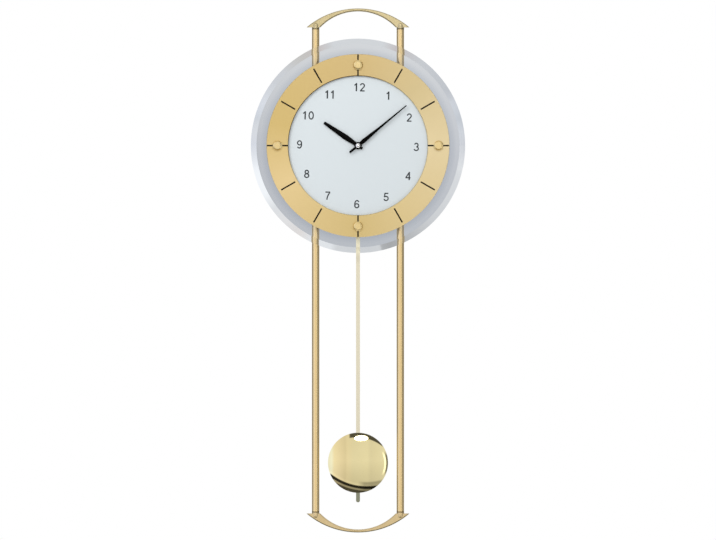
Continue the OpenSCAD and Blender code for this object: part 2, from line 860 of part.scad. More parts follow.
module movement_case() {
    color(black) from_axis() difference() {
        union() {
            difference() {
                slab(case_front_y, cover_front_y) case_outline(0);
                slab(case_in_y, cover_front_y + 1) case_outline(case_wall);
            }
            for (p = case_bosses) at(p) shaft(case_in_y - 0.2, cover_front_y, 2 * case_boss_r);
            for (p = bridge_posts) at(p)
                shaft(case_in_y - 0.2, bridge_front_y, 2 * bridge_post_r);
            for (p = board_posts) at(p) {
                shaft(case_in_y - 0.2, board_front_y, 2 * support_r);
                shaft(board_front_y - 0.2, board_rear_y + 0.6, 2 * support_pin_r);
            }
            for (p = stator_posts) at(p) {
                shaft(case_in_y - 0.2, stator_y, 2 * support_r);
                shaft(stator_y - 0.2, stator_y + stator_t + 0.6, 2 * support_pin_r);
            }
            bay_walls();
        }
        lever_slot();
        shaft(case_front_y - 1, case_in_y + 1, bush_d + 2 * still_fit);
        shaft(case_in_y - bush_collar_t - still_fit, case_in_y + 1,
            bush_collar_d + 2 * still_fit);
        for (p = [intermediate_at, rotor_at]) at(p)
            shaft(case_in_y - pivot_len - 0.1, case_in_y + 1, arbor_d + 2 * run_fit);
        at(setting_at) shaft(case_in_y - pivot_len - 0.1, case_in_y + 1, arbor_d + 2 * still_fit);
        for (p = case_bosses) at(p)
            shaft(cover_front_y - 8, cover_front_y + 1, small_screw_d + 2 * still_fit);
        for (p = bridge_posts) at(p)
            shaft(bridge_front_y - 5, bridge_front_y + 1, small_screw_d + 2 * still_fit);
    }
}

module rear_cover() {
    bay_edge = 0.8;
    color(black) from_axis() difference() {
        union() {
            slab(cover_front_y, cover_rear_y) case_outline(0);
            at([0, pivot_z]) shaft(cover_front_y - 0.8, cover_front_y + 0.2, pivot_d + 4);
        }
        at([0, pivot_z]) shaft(cover_front_y - 1, cover_rear_y - 0.8, pivot_d + 2 * still_fit);
        slab(cover_front_y - 1, cover_rear_y + 1) translate([bay_x + bay_edge, battery_bottom_z - 2])
            square([case_in_x - bay_x - 2 * bay_edge, bay_top_z - battery_bottom_z + 1]);
        for (p = button_at) at(p) shaft(cover_front_y - 1, cover_rear_y + 1, button_d + 0.6);
        for (p = case_bosses) at(p) {
            shaft(cover_front_y - 1, cover_rear_y + 1, small_screw_d + 0.3);
            shaft(cover_rear_y - small_head_t, cover_rear_y + 1, small_head_d + 0.3);
        }
    }
}

module case_screws() {
    color(steel) from_axis() for (p = case_bosses) at(p)
        screw(cover_rear_y - small_head_t, 7, small_screw_d, small_head_d, small_head_t);
}

module center_bush() {
    nut_front_y = carrier_front_y - bush_washer_t - bush_nut_t;
    color(polished_brass) from_axis() difference() {
        union() {
            shaft(nut_front_y - 0.5, case_in_y, bush_d);
            shaft(case_in_y - bush_collar_t, case_in_y, bush_collar_d);
        }
        shaft(nut_front_y - 2, case_in_y + 1, hour_tube_d + 2 * run_fit);
    }
}

module bush_washer() {
    color(steel) from_axis() difference() {
        shaft(carrier_front_y - bush_washer_t, carrier_front_y, bush_nut_af + 2);
        shaft(carrier_front_y - 2, carrier_front_y + 1, bush_d + 2 * still_fit);
    }
}

module bush_nut() {
    nut_rear_y = carrier_front_y - bush_washer_t;
    color(polished_brass) from_axis() difference() {
        slab(nut_rear_y - bush_nut_t, nut_rear_y) hexagon(bush_nut_af);
        shaft(nut_rear_y - bush_nut_t - 1, nut_rear_y + 1, bush_d + 2 * still_fit);
    }
}

// Wheel train

module cradle(x) {
    translate([x - 1.5, bridge_rear_y - 0.2, ferrite_z - 4.4])
        cube([3, ferrite_y - 0.5 - bridge_rear_y + 0.2, 8.8]);
}

module train_bridge() {
    color("#d8d4c6") from_axis() difference() {
        union() {
            difference() {
                slab(bridge_front_y, bridge_rear_y)
                    translate([-bridge_half_w, bridge_bottom_z])
                        square([2 * bridge_half_w, bridge_top_z - bridge_bottom_z]);
                for (p = case_bosses) at(p)
                    shaft(bridge_front_y - 1, bridge_rear_y + 1, 2 * case_boss_r + 0.6);
            }
            cradle(-cradle_x);
            cradle(cradle_x);
        }
        translate([-ferrite_len, ferrite_y, ferrite_z]) rotate([0, 90, 0])
            cylinder(h = 2 * ferrite_len, d = ferrite_d + 2 * still_fit);
        shaft(bridge_front_y - 1, bridge_rear_y + 1, rear_pivot_d + 2 * run_fit);
        for (p = [intermediate_at, rotor_at]) at(p)
            shaft(bridge_front_y - 1, bridge_rear_y + 1, arbor_d + 2 * run_fit);
        at(setting_at) shaft(bridge_front_y - 1, bridge_rear_y + 1, arbor_d + 2 * still_fit);
        at([0, pivot_z]) shaft(bridge_front_y - 1, bridge_rear_y + 1, pivot_d + 2 * still_fit);
        for (p = bridge_posts) at(p)
            shaft(bridge_front_y - 1, bridge_rear_y + 1, small_screw_d + 0.3);
    }
}

module bridge_screws() {
    color(steel) from_axis() for (p = bridge_posts) at(p)
        screw(bridge_rear_y, bridge_t + 4, small_screw_d, small_head_d, small_head_t * 0.8);
}

module gear(n, teeth, mod, turn, over, pinion) {
    slab(layer_y(n) - over, layer_y(n) + wheel_t + over)
        polygon(gear_outline(teeth, mod, turn, pinion));
}

module minute_wheel() {
    color(polished_brass) from_axis() {
        difference() {
            gear(2, minute_teeth, train_mod, minute_turn, 0, false);
            for (a = [0:72:288]) at(5.6 * [cos(a), sin(a)])
                shaft(layer_y(2) - 1, layer_y(3), 3.6);
        }
        shaft(arbor_end_y, layer_y(2) + wheel_t, minute_arbor_d);
        shaft(arbor_end_y - hand_thread_len, arbor_end_y, minute_arbor_d - 1);
        shaft(layer_y(2), bridge_rear_y - 0.1, rear_pivot_d);
        shaft(layer_y(2), bridge_front_y - 0.2, minute_arbor_d);
    }
}

module cannon_pinion() {
    color(polished_brass) from_axis() difference() {
        gear(1, cannon_teeth, motion_mod, cannon_turn, pinion_over, true);
        shaft(layer_y(0), layer_y(3), minute_arbor_d + 2 * still_fit);
    }
}

module hour_wheel() {
    color("#e9e6da") from_axis() difference() {
        union() {
            gear(0, hour_teeth, hour_mod, hour_turn, 0, false);
            shaft(tube_end_y, layer_y(0) + wheel_t, hour_tube_d);
        }
        shaft(tube_end_y - 1, layer_y(1), minute_arbor_d + 0.16);
    }
}

module setting_wheel() {
    hub_r = arbor_d / 2 + 0.6;
    color("#e9e6da") from_axis() at(setting_at) difference() {
        union() {
            gear(0, setting_pinion_teeth, hour_mod, setting_turn, pinion_over, true);
            gear(1, setting_teeth, motion_mod, setting_turn, 0, false);
            shaft(layer_y(0), bridge_front_y - 0.2, 2 * hub_r);
        }
        shaft(layer_y(0) - 2, bridge_front_y + 1, arbor_d + 2 * run_fit);
    }
}

module setting_post() {
    color(steel) from_axis() at(setting_at)
        shaft(case_in_y - pivot_len, bridge_rear_y - 0.1, arbor_d);
}

module intermediate_wheel() {
    color("#e9e6da") from_axis() at(intermediate_at) {
        gear(2, intermediate_pinion_teeth, train_mod, intermediate_turn, pinion_over, true);
        gear(3, intermediate_teeth, train_mod, intermediate_turn, 0, false);
        shaft(layer_y(2), layer_y(3) + wheel_t, arbor_d);
        shaft(case_in_y - pivot_len, bridge_rear_y - 0.1, arbor_d);
    }
}

// Motor

module rotor_arbor() {
    color("#e9e6da") from_axis() at(rotor_at) {
        gear(3, rotor_teeth, train_mod, rotor_turn, pinion_over, true);
        shaft(case_in_y - pivot_len, bridge_rear_y - 0.1, arbor_d);
    }
}

module rotor_magnet() {
    color(steel) from_axis() at(rotor_at) difference() {
        shaft(stator_y - 0.5, stator_y + stator_t + 0.5, 2 * rotor_magnet_r);
        shaft(stator_y - 1, stator_y + stator_t + 1, arbor_d + 2 * still_fit);
    }
}

module stator_plate() {
    color(steel) from_axis() difference() {
        slab(stator_y, stator_y + stator_t) difference() {
            translate([stator_left, stator_bottom])
                square([stator_right - stator_left, stator_top - stator_bottom]);
            translate([stator_left + stator_leg, stator_bottom + stator_leg])
                square([stator_right - stator_left - 2 * stator_leg,
                    rotor_at[1] - 5 - stator_bottom - stator_leg]);
        }
        at(rotor_at) shaft(stator_y - 1, stator_y + stator_t + 1, 2 * rotor_hole_r);
        for (p = stator_posts) at(p)
            shaft(stator_y - 1, stator_y + stator_t + 1, 2 * support_pin_r + 2 * still_fit);
    }
}

module motor_coil() {
    // Clear of the post beside it
    length = stator_right - stator_left - 2 * stator_leg - 1.4;
    mid_y = stator_y + stator_t / 2;
    core = stator_leg + 0.1;
    color(copper) from_axis() difference() {
        translate([(stator_left + stator_right - length) / 2, mid_y, motor_coil_z])
            rotate([0, 90, 0]) {
                cylinder(h = length, d = motor_coil_d - 1);
                cylinder(h = 1, d = motor_coil_d);
                translate([0, 0, length - 1]) cylinder(h = 1, d = motor_coil_d);
            }
        translate([stator_left, mid_y - stator_t / 2 - still_fit, motor_coil_z - core / 2])
            cube([stator_right - stator_left, stator_t + 2 * still_fit, core]);
    }
}

// Board, drive and antenna

module circuit_board() {
    color("#1f6b3c") from_axis() difference() {
        slab(board_front_y, board_rear_y) translate([board_left, board_bottom])
            square([board_right - board_left, board_top - board_bottom]);
        for (p = board_posts) at(p)
            shaft(board_front_y - 1, board_rear_y + 1, 2 * support_pin_r + 2 * still_fit);
    }
}

// A box on the board: centre, size across and up, and height off the board
module board_box(p, w, h, rise) {
    at(p) slab(board_rear_y, board_rear_y + rise) square([w, h], center = true);
}

module board_chips() {
    color(black) from_axis() {
        board_box(chip_at, chip_w, chip_w, 1.5);
        board_box(crystal_at, 6.8, 2.4, 2.2);
        at(capacitor_at) shaft(board_rear_y, board_rear_y + 4.5, 5);
        for (p = button_at) {
            board_box(p, 6, 6, switch_h - 0.6);
            at(p) shaft(board_rear_y + switch_h - 0.7, board_rear_y + switch_h, 2.4);
        }
    }
}

module drive_coil() {
    color(copper) from_axis() at([0, drive_z]) difference() {
        shaft(board_rear_y, board_rear_y + drive_coil_t, drive_coil_d);
        shaft(board_rear_y - 1, board_rear_y + drive_coil_t + 1, drive_coil_d / 3);
    }
}

module ferrite_rod() {
    color("#2b2b2e") from_axis() translate([-ferrite_len / 2, ferrite_y, ferrite_z])
        rotate([0, 90, 0]) cylinder(h = ferrite_len, d = ferrite_d);
}

module antenna_coil() {
    color(copper) from_axis() translate([-cradle_x + 4, ferrite_y, ferrite_z])
        rotate([0, 90, 0]) difference() {
            cylinder(h = antenna_coil_len, d = antenna_coil_d);
            translate([0, 0, -1])
                cylinder(h = antenna_coil_len + 2, d = ferrite_d + 2 * still_fit);
        }
}

// Battery

module battery() {
    color("#3b5f8a") from_axis() translate([battery_x, battery_y, battery_bottom_z]) {
        cylinder(h = battery_len, d = battery_d);
        cylinder(h = battery_len + nub_h, d = 5.4);
    }
}

module battery_contacts() {
    leaf = 5;
    rise = battery_bottom_z - case_in_bottom_z - 0.05;
    color(steel) from_axis() {
        translate([battery_x - leaf, battery_y - leaf, bay_top_z - contact_t])
            cube([2 * leaf, 2 * leaf, contact_t]);
        translate([battery_x, 0, case_in_bottom_z]) slab(battery_y - 3, battery_y + 3)
            polygon([[-leaf - 1, 0], [-leaf - 1, contact_t], [-leaf, contact_t], [0, rise],
                [leaf, contact_t], [leaf + 1, contact_t], [leaf + 1, 0], [leaf - 0.3, 0],
                [0, rise - 0.5], [0.3 - leaf, 0]]);
    }
}

// Push buttons

module push_button(p) {
    stem_end_y = board_rear_y + switch_h + button_travel + 0.1;
    flange_rear_y = cover_front_y - 0.1;
    from_axis() at(p) {
        shaft(flange_rear_y - 0.2, cover_rear_y - 0.2, button_d);
        shaft(flange_rear_y - 0.8, flange_rear_y, button_d + 2);
        shaft(stem_end_y, flange_rear_y - 0.2, 3);
    }
}

module reset_button() {
    color("#c9c9c4") push_button(button_at[0]);
}

module set_button() {
    color("#c9c9c4") push_button(button_at[1]);
}

// Pendulum

module pendulum_lever() {
    color("#e9e6da") from_axis() difference() {
        union() {
            slab(lever_front_y, lever_rear_y) {
                translate([-lever_w / 2, peg_z]) square([lever_w, pivot_z - peg_z]);
                translate([0, drive_z]) circle(r = magnet_r + 1.5);
                translate([0, pivot_z]) circle(r = lever_hub_r);
                translate([0, peg_z]) circle(r = eye_end_r);
            }
            at([0, pivot_z]) shaft(lever_front_y, cover_front_y - 1.1, 2 * lever_hub_r);
            at([0, peg_z]) shaft(lever_rear_y - 0.5, strip_rear_y + 1.2, peg_d);
        }
        at([0, pivot_z]) shaft(lever_front_y - 1, cover_front_y, pivot_d + 2 * run_fit);
        at([0, drive_z]) shaft(lever_front_y - 1, lever_front_y + magnet_t + still_fit,
            2 * (magnet_r + still_fit));
    }
}

module lever_pivot() {
    color(steel) from_axis() at([0, pivot_z])
        shaft(bridge_front_y, cover_rear_y - 0.9, pivot_d);
}

module drive_magnet() {
    color(steel) from_axis() at([0, drive_z])
        shaft(lever_front_y, lever_front_y + magnet_t, 2 * magnet_r);
}

module pendulum_rod() {
    color(polished_brass) from_axis() difference() {
        slab(strip_front_y, strip_rear_y) {
            translate([-strip_w / 2, strip_bottom_z + strip_w / 2])
                square([strip_w, peg_z - strip_bottom_z - strip_w / 2]);
            translate([0, strip_bottom_z + strip_w / 2]) circle(d = strip_w);
            translate([0, peg_z]) circle(r = eye_end_r);
        }
        at([0, peg_z]) shaft(strip_front_y - 1, strip_rear_y + 1, peg_d + 0.1);
    }
}

// Radius of the sphere through an edge of radius r whose crown stands h above it
function ball(r, h) = (r * r + h * h) / (2 * h);

// Half section of a dished disc: straight rim, then a dome of height h in all
module dish_section(r, h) {
    intersection() {
        translate([0, h - ball(r, h - bob_rim)])
            circle(r = ball(r, h - bob_rim), $fn = 720);
        translate([0, bob_rim]) square([r, h]);
    }
    square([r, bob_rim]);
}

// Pressed shell of the bob: open rim on the bob's middle plane, dome to the front
module bob_shell(h) {
    r = bob_d / 2;
    difference() {
        turned(0) difference() {
            dish_section(r, h);
            translate([0, -0.01]) dish_section(r - bob_shell_t, h - bob_shell_t);
        }
        translate([-strip_w / 2 - 0.2, -strip_t / 2 - 0.1, -bob_d])
            cube([strip_w + 0.4, bob_d, 2 * bob_d]);
    }
}

module bob_front() {
    color(polished_brass) from_axis() translate([0, bob_mid_y, bob_z]) bob_shell(bob_front_h);
}

module bob_back() {
    color(polished_brass) from_axis() translate([0, bob_mid_y, bob_z]) mirror([0, 1, 0])
        bob_shell(bob_back_h);
}

module bob_clip() {
    clip_t = 0.5;
    clip_w = strip_w + 8;
    clip_h = 24;
    foot_h = 12;
    dome_h = bob_back_h - bob_rim - bob_shell_t;
    dome_r = ball(bob_d / 2 - bob_shell_t, dome_h);
    corner = norm([clip_w, foot_h]) / 2;
    foot_y = bob_back_h - bob_shell_t - dome_r + sqrt(dome_r * dome_r - corner * corner) - 0.05;
    clip_y = strip_t / 2 + 0.1;
    color(steel) from_axis() translate([0, bob_mid_y, bob_z]) {
        translate([-clip_w / 2, clip_y, -clip_h / 2]) cube([clip_w, clip_t, clip_h]);
        for (side = [0, 1]) mirror([side, 0, 0]) {
            for (z = [-clip_h / 2, clip_h / 2 - 3]) {
                translate([strip_w / 2 + 0.1, -clip_y - clip_t, z])
                    cube([clip_t, 2 * clip_y + clip_t + 0.1, 3]);
                translate([strip_w / 2 - 0.9, -clip_y - clip_t, z]) cube([1.2, clip_t, 3]);
            }
            translate([clip_w / 2 - clip_t, clip_y, -foot_h / 2])
                cube([clip_t, foot_y - clip_y, foot_h]);
        }
    }
}

rod_left();
rod_right();
rod_plugs();
bow_studs();
top_bow();
bottom_bow();
wall_spacers();
wall_pads();
hanger_bracket();
hanger_rivets();
carrier_plate();
rod_clamps();
clamp_screws();
glass_gasket();
glass_disc();
dial_plate();
ring_spacers();
hour_ring();
hour_markers();
ring_knobs();
knob_nuts();
hour_hand();
minute_hand();
hand_nut();
movement_case();
rear_cover();
case_screws();
center_bush();
bush_washer();
bush_nut();
train_bridge();
bridge_screws();
minute_wheel();
cannon_pinion();
hour_wheel();
setting_wheel();
setting_post();
intermediate_wheel();
rotor_arbor();
rotor_magnet();
stator_plate();
motor_coil();
circuit_board();
board_chips();
drive_coil();
drive_magnet();
pendulum_lever();
lever_pivot();
ferrite_rod();
antenna_coil();
battery();
battery_contacts();
reset_button();
set_button();
pendulum_rod();
bob_front();
bob_back();
bob_clip();
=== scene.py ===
# Pendulum wall clock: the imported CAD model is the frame, and this script gives it its looks.
import math

import bmesh
import bpy
from mathutils import Matrix, Vector


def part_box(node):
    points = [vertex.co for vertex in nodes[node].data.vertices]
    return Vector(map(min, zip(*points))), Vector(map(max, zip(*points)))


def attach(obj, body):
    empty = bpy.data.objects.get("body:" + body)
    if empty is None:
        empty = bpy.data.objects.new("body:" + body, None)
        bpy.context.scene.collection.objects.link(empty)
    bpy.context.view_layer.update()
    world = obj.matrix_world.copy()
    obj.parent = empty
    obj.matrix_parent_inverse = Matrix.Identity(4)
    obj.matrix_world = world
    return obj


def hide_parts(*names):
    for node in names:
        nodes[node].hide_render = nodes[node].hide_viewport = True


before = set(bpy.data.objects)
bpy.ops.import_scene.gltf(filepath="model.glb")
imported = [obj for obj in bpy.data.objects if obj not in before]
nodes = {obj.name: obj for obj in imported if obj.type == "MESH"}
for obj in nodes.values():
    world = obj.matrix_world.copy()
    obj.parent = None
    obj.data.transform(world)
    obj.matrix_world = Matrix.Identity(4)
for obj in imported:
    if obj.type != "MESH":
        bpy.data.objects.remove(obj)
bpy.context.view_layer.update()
mm = 0.001
scene = bpy.context.scene

# Heights and depths that the pieces below share, read from the frame's own boxes
glassLow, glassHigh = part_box("glass_disc")
handZ = (glassLow.z + glassHigh.z) / 2
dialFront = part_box("dial_plate")[0].y
ringLow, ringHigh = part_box("hour_ring")
ringRadius = (ringHigh.x - ringLow.x) / 2
bobLow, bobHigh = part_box("bob_front")
bobCentre = Vector(((bobLow.x + bobHigh.x) / 2, bobHigh.y, (bobLow.z + bobHigh.z) / 2))


# Colours and nodes

def linearColour(hexText):
    channels = [int(hexText[i:i + 2], 16) / 255 for i in (1, 3, 5)]
    return [c / 12.92 if c <= 0.04045 else ((c + 0.055) / 1.055) ** 2.4
            for c in channels] + [1.0]


def addNode(tree, kind, inputs=None, **settings):
    node = tree.nodes.new(kind)
    for name, value in settings.items():
        setattr(node, name, value)
    for socket, value in (inputs or {}).items():
        if isinstance(value, bpy.types.NodeSocket):
            tree.links.new(value, node.inputs[socket])
        else:
            node.inputs[socket].default_value = value
    return node


# Stops are pairs of a place from 0 to 1 and a colour, as hex text or as linear values
def setStops(ramp, stops):
    elements = ramp.color_ramp.elements
    while len(elements) > 1:
        elements.remove(elements[-1])
    for index, (place, colour) in enumerate(stops):
        element = elements[0] if index == 0 else elements.new(place)
        element.position = place
        element.color = linearColour(colour) if isinstance(colour, str) else colour


def startMaterial(name, values):
    material = bpy.data.materials.new(name)
    material.use_nodes = True
    tree = material.node_tree
    tree.nodes.clear()
    shader = addNode(tree, "ShaderNodeBsdfPrincipled", values)
    addNode(tree, "ShaderNodeOutputMaterial", {"Surface": shader.outputs["BSDF"]})
    place = addNode(tree, "ShaderNodeTexCoord").outputs["Object"]
    return material, tree, shader, place


# Noise whose grains have the given size in millimetres along X, Y and Z
def grainNoise(tree, place, sizeMm, detail=2.0):
    mapped = addNode(tree, "ShaderNodeMapping",
                     {"Vector": place, "Scale": [1 / (s * mm) for s in sizeMm]})
    return addNode(tree, "ShaderNodeTexNoise",
                   {"Vector": mapped.outputs["Vector"], "Scale": 1.0, "Detail": detail,
                    "Roughness": 0.5}).outputs["Fac"]


def mapRange(tree, value, low, high, fromLow=0.3, fromHigh=0.7):
    return addNode(tree, "ShaderNodeMapRange",
                   {"Value": value, "From Min": fromLow, "From Max": fromHigh,
                    "To Min": low, "To Max": high}).outputs["Result"]


# A grain that shows in the gloss and, as fine relief, in the normal
def addGrain(tree, shader, grain, roughness, strength, bumpMm):
    tree.links.new(mapRange(tree, grain, *roughness), shader.inputs["Roughness"])
    bump = addNode(tree, "ShaderNodeBump", {"Height": grain, "Strength": strength,
                                            "Distance": bumpMm * mm})
    tree.links.new(bump.outputs["Normal"], shader.inputs["Normal"])


# The plain case: two close colours in soft patches, and a fine grain in gloss and height
def surface(recipe):
    values = {"Metallic": recipe.get("metallic", 0.0), "IOR": recipe.get("ior", 1.5)}
    if "sheen" in recipe:
        values["Sheen Weight"] = recipe["sheen"]
    material, tree, shader, place = startMaterial(recipe["name"], values)
    patches = grainNoise(tree, place, [recipe.get("patchMm", 25)] * 3, 3.0)
    ramp = addNode(tree, "ShaderNodeValToRGB", {"Fac": patches})
    first, second = recipe["colours"]
    setStops(ramp, [(0.3, first), (0.7, second)])
    tree.links.new(ramp.outputs["Color"], shader.inputs["Base Color"])
    grain = grainNoise(tree, place, recipe["grainMm"], recipe.get("detail", 2.0))
    addGrain(tree, shader, grain, recipe["roughness"], 0.5, recipe["bumpMm"])
    return material


# Painted shade: a dark line at both ends of an upright piece, in the seam where it meets the
# bow
def darkenEnds(material, low, high, width, shade):
    tree = material.node_tree
    shader = tree.nodes["Principled BSDF"]
    place = addNode(tree, "ShaderNodeTexCoord").outputs["Object"]
    height = addNode(tree, "ShaderNodeSeparateXYZ", {"Vector": place}).outputs["Z"]
    foot = mapRange(tree, height, 1, 0, low + width, low + width * 1.3)
    head = mapRange(tree, height, 0, 1, high - width * 1.3, high - width)
    ends = addNode(tree, "ShaderNodeMath", {0: foot, 1: head}, operation="MAXIMUM")
    tone = addNode(tree, "ShaderNodeMix",
                   {"Factor": ends.outputs["Value"], "A": shader.inputs["Base Color"].links[0]
                    .from_socket, "B": linearColour(shade)}, data_type="RGBA").outputs[2]
    tree.links.new(tone, shader.inputs["Base Color"])


# Painted shade: a darker colour on the faces that look down
def darkenBelow(material, shade):
    tree = material.node_tree
    shader = tree.nodes["Principled BSDF"]
    facing = addNode(tree, "ShaderNodeSeparateXYZ",
                     {"Vector": addNode(tree, "ShaderNodeNewGeometry").outputs["Normal"]})
    tone = addNode(tree, "ShaderNodeMix",
                   {"Factor": mapRange(tree, facing.outputs["Z"], 1, 0, -0.6, -0.3),
                    "A": shader.inputs["Base Color"].links[0].from_socket,
                    "B": linearColour(shade)}, data_type="RGBA").outputs[2]
    tree.links.new(tone, shader.inputs["Base Color"])


def dress(material, *names):
    for name in names:
        mesh = nodes[name].data
        mesh.materials.clear()
        mesh.materials.append(material)


finishes = {
    # Drawn brass tube under matt gold lacquer: an even warm gold with a soft sheen
    "tubeGold": {"name": "drawnTubeGold", "metallic": 1.0,
                 "colours": ("#ecd29b", "#efd5a0"), "patchMm": 60,
                 "grainMm": (1.5, 1.5, 60), "roughness": (0.23, 0.26), "bumpMm": 0.0002},
    # Bows cut from brass plate, bead-blasted and lacquered: duller than the tubes. The two are
    # one finish with painted shade and light: the upper bow darker, the lower one paler and
    # warmer
    "shadedBowGold": {"name": "blastedGoldPlate", "metallic": 1.0,
                    "colours": ("#c2b48a", "#cbbd95"), "patchMm": 12,
                    "grainMm": (0.8, 0.8, 0.8), "roughness": (0.34, 0.38), "bumpMm": 0.0006},
    "litBowGold": {"name": "litBlastedGoldPlate", "metallic": 1.0,
                 "colours": ("#dfc899", "#e4cfa2"), "patchMm": 12,
                 "grainMm": (0.8, 0.8, 0.8), "roughness": (0.34, 0.38), "bumpMm": 0.0006},
    # Turned brass knob, polished on the lathe: brighter than the ring
    "turnedGold": {"name": "turnedGold", "metallic": 1.0,
                   "colours": ("#ead196", "#edd7a0"), "patchMm": 8,
                   "grainMm": (0.4, 2, 0.4), "roughness": (0.18, 0.26), "bumpMm": 0.002},
    # Pressed brass, buffed to a mirror and lacquered
    "mirrorBrass": {"name": "buffedBrass", "metallic": 1.0,
                    "colours": ("#e6daa8", "#eadeae"), "patchMm": 30,
                    "grainMm": (3, 3, 3), "roughness": (0.03, 0.05), "bumpMm": 0.0015},
    # Free-cutting brass of the bush, nut and arbors
    "barBrass": {"name": "freeCuttingBrass", "metallic": 1.0,
                 "colours": ("#d9c07c", "#cfb46e"), "patchMm": 6,
                 "grainMm": (0.3, 0.3, 0.3), "roughness": (0.25, 0.38), "bumpMm": 0.004},
    # Steel with bright zinc plating: bluish grey with a faint spangle
    "zincSteel": {"name": "brightZincSteel", "metallic": 1.0,
                  "colours": ("#b9bcc0", "#a9adb3"), "patchMm": 5,
                  "grainMm": (0.6, 0.6, 0.6), "roughness": (0.26, 0.42), "bumpMm": 0.004},
    # Sheet steel in satin black powder coat: a fine orange peel
    "powderBlack": {"name": "blackPowderCoat", "colours": ("#1b1c1d", "#202122"),
                    "grainMm": (0.9, 0.9, 0.9), "roughness": (0.42, 0.55), "bumpMm": 0.02},
    # Thin steel under black stoving enamel: smooth and half glossy
    "handEnamel": {"name": "blackStovingEnamel", "colours": ("#020202", "#040404"),
                   "grainMm": (0.5, 0.5, 0.5), "roughness": (0.3, 0.4), "bumpMm": 0.002,
                   "ior": 1.12},
    # Dark enamel wiped into the ring's grooves
    "tickInk": {"name": "darkTickEnamel", "colours": ("#0b0a08", "#12110e"), "ior": 1.2,
                "grainMm": (0.4, 0.4, 0.4), "roughness": (0.4, 0.55), "bumpMm": 0.004},
    # Screen-printed ink of the numerals: matt, slightly uneven
    "numeralInk": {"name": "greyPrintedInk", "colours": ("#1b2328", "#22292e"),
                   "patchMm": 4, "grainMm": (0.3, 0.3, 0.3), "roughness": (0.5, 0.65),
                   "bumpMm": 0.003},
    # Moulded ABS with a spark-eroded texture
    "caseAbs": {"name": "blackSparkErodedAbs", "colours": ("#1a1b1c", "#222324"),
                "patchMm": 20, "grainMm": (0.45, 0.45, 0.45), "roughness": (0.5, 0.66),
                "bumpMm": 0.03, "detail": 4.0},
    # Acetal gears and levers: waxy white
    "whiteAcetal": {"name": "whiteAcetal", "colours": ("#e9e6da", "#e2dfd2"),
                    "grainMm": (0.5, 0.5, 0.5), "roughness": (0.34, 0.44), "bumpMm": 0.004},
    # Buttons moulded in grey ABS
    "greyButton": {"name": "greyMouldedAbs", "colours": ("#c8c8c2", "#bebeb8"),
                   "grainMm": (0.35, 0.35, 0.35), "roughness": (0.4, 0.52),
                   "bumpMm": 0.008},
    # Silicone rubber pads
    "padRubber": {"name": "blackSiliconeRubber", "colours": ("#161616", "#1e1e1e"),
                  "grainMm": (0.3, 0.3, 0.3), "roughness": (0.7, 0.85), "bumpMm": 0.02},
    # Pressed wool felt
    "felt": {"name": "pressedWoolFelt", "colours": ("#2a2a2c", "#38383a"), "patchMm": 1.5,
             "grainMm": (0.25, 0.25, 0.25), "roughness": (0.9, 1.0), "bumpMm": 0.08,
             "sheen": 0.5, "detail": 5.0},
    # Sintered ferrite of the antenna rod
    "ferrite": {"name": "sinteredFerrite", "colours": ("#2a2a2d", "#38383b"), "patchMm": 2,
                "grainMm": (0.3, 0.3, 0.3), "roughness": (0.6, 0.8), "bumpMm": 0.02},
    # Cap nut of the hands, turned from steel, polished and chromed
    "chrome": {"name": "polishedChrome", "metallic": 1.0, "colours": ("#f0f1f2", "#eaebec"),
               "patchMm": 3, "grainMm": (0.3, 0.3, 0.3), "roughness": (0.05, 0.1),
               "bumpMm": 0.001},
    # Magnets under nickel plating
    "nickel": {"name": "nickelPlating", "metallic": 1.0, "colours": ("#c6c4bd", "#bbb9b2"),
               "grainMm": (1, 1, 1), "roughness": (0.16, 0.26), "bumpMm": 0.002},
    # Laminated silicon steel of the stator
    "laminate": {"name": "siliconSteel", "metallic": 1.0, "colours": ("#85878a", "#74767a"),
                 "grainMm": (4, 0.1, 4), "roughness": (0.4, 0.55), "bumpMm": 0.01},
    # Chip bodies in moulded epoxy
    "epoxy": {"name": "mouldedEpoxy", "colours": ("#17181a", "#202124"), "patchMm": 3,
              "grainMm": (0.2, 0.2, 0.2), "roughness": (0.5, 0.62), "bumpMm": 0.01},
}
made = {key: surface(recipe) for key, recipe in finishes.items()}
tubeLow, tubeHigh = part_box("rod_left")
darkenEnds(made["tubeGold"], tubeLow.z, tubeHigh.z, 0.9 * mm, "#4d3a20")
darkenBelow(made["litBowGold"], "#6e6442")
print("finishes made:", len(made))


# Enamelled copper wire wound in neat turns: ridges one wire apart along the coil
def windingMaterial(name, axis, wireMm):
    material, tree, shader, place = startMaterial(name, {"Metallic": 0.85, "Roughness": 0.34,
                                                         "IOR": 1.5})
    if axis == "radial":
        low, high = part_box("drive_coil")
        centred = addNode(tree, "ShaderNodeMapping",
                          {"Vector": place, "Location": (0, 0, -(low.z + high.z) / 2),
                           "Scale": (1, 0, 1)})
        along = addNode(tree, "ShaderNodeVectorMath", {0: centred.outputs["Vector"]},
                        operation="LENGTH").outputs["Value"]
    else:
        along = addNode(tree, "ShaderNodeSeparateXYZ", {"Vector": place}).outputs[axis]
    turns = addNode(tree, "ShaderNodeMath", {0: along, 1: 2 * math.pi / (wireMm * mm)},
                    operation="MULTIPLY").outputs["Value"]
    ridge = addNode(tree, "ShaderNodeMath", {0: turns}, operation="SINE").outputs["Value"]
    # Painted shade in the hollows between turns, paler on their crests
    ramp = addNode(tree, "ShaderNodeValToRGB", {"Fac": mapRange(tree, ridge, 0, 1, -1, 1)})
    setStops(ramp, [(0.0, "#6b3517"), (1.0, "#c47a3c")])
    tree.links.new(ramp.outputs["Color"], shader.inputs["Base Color"])
    bump = addNode(tree, "ShaderNodeBump", {"Height": ridge, "Strength": 0.8,
                                            "Distance": wireMm * mm * 0.3})
    tree.links.new(bump.outputs["Normal"], shader.inputs["Normal"])
    return material


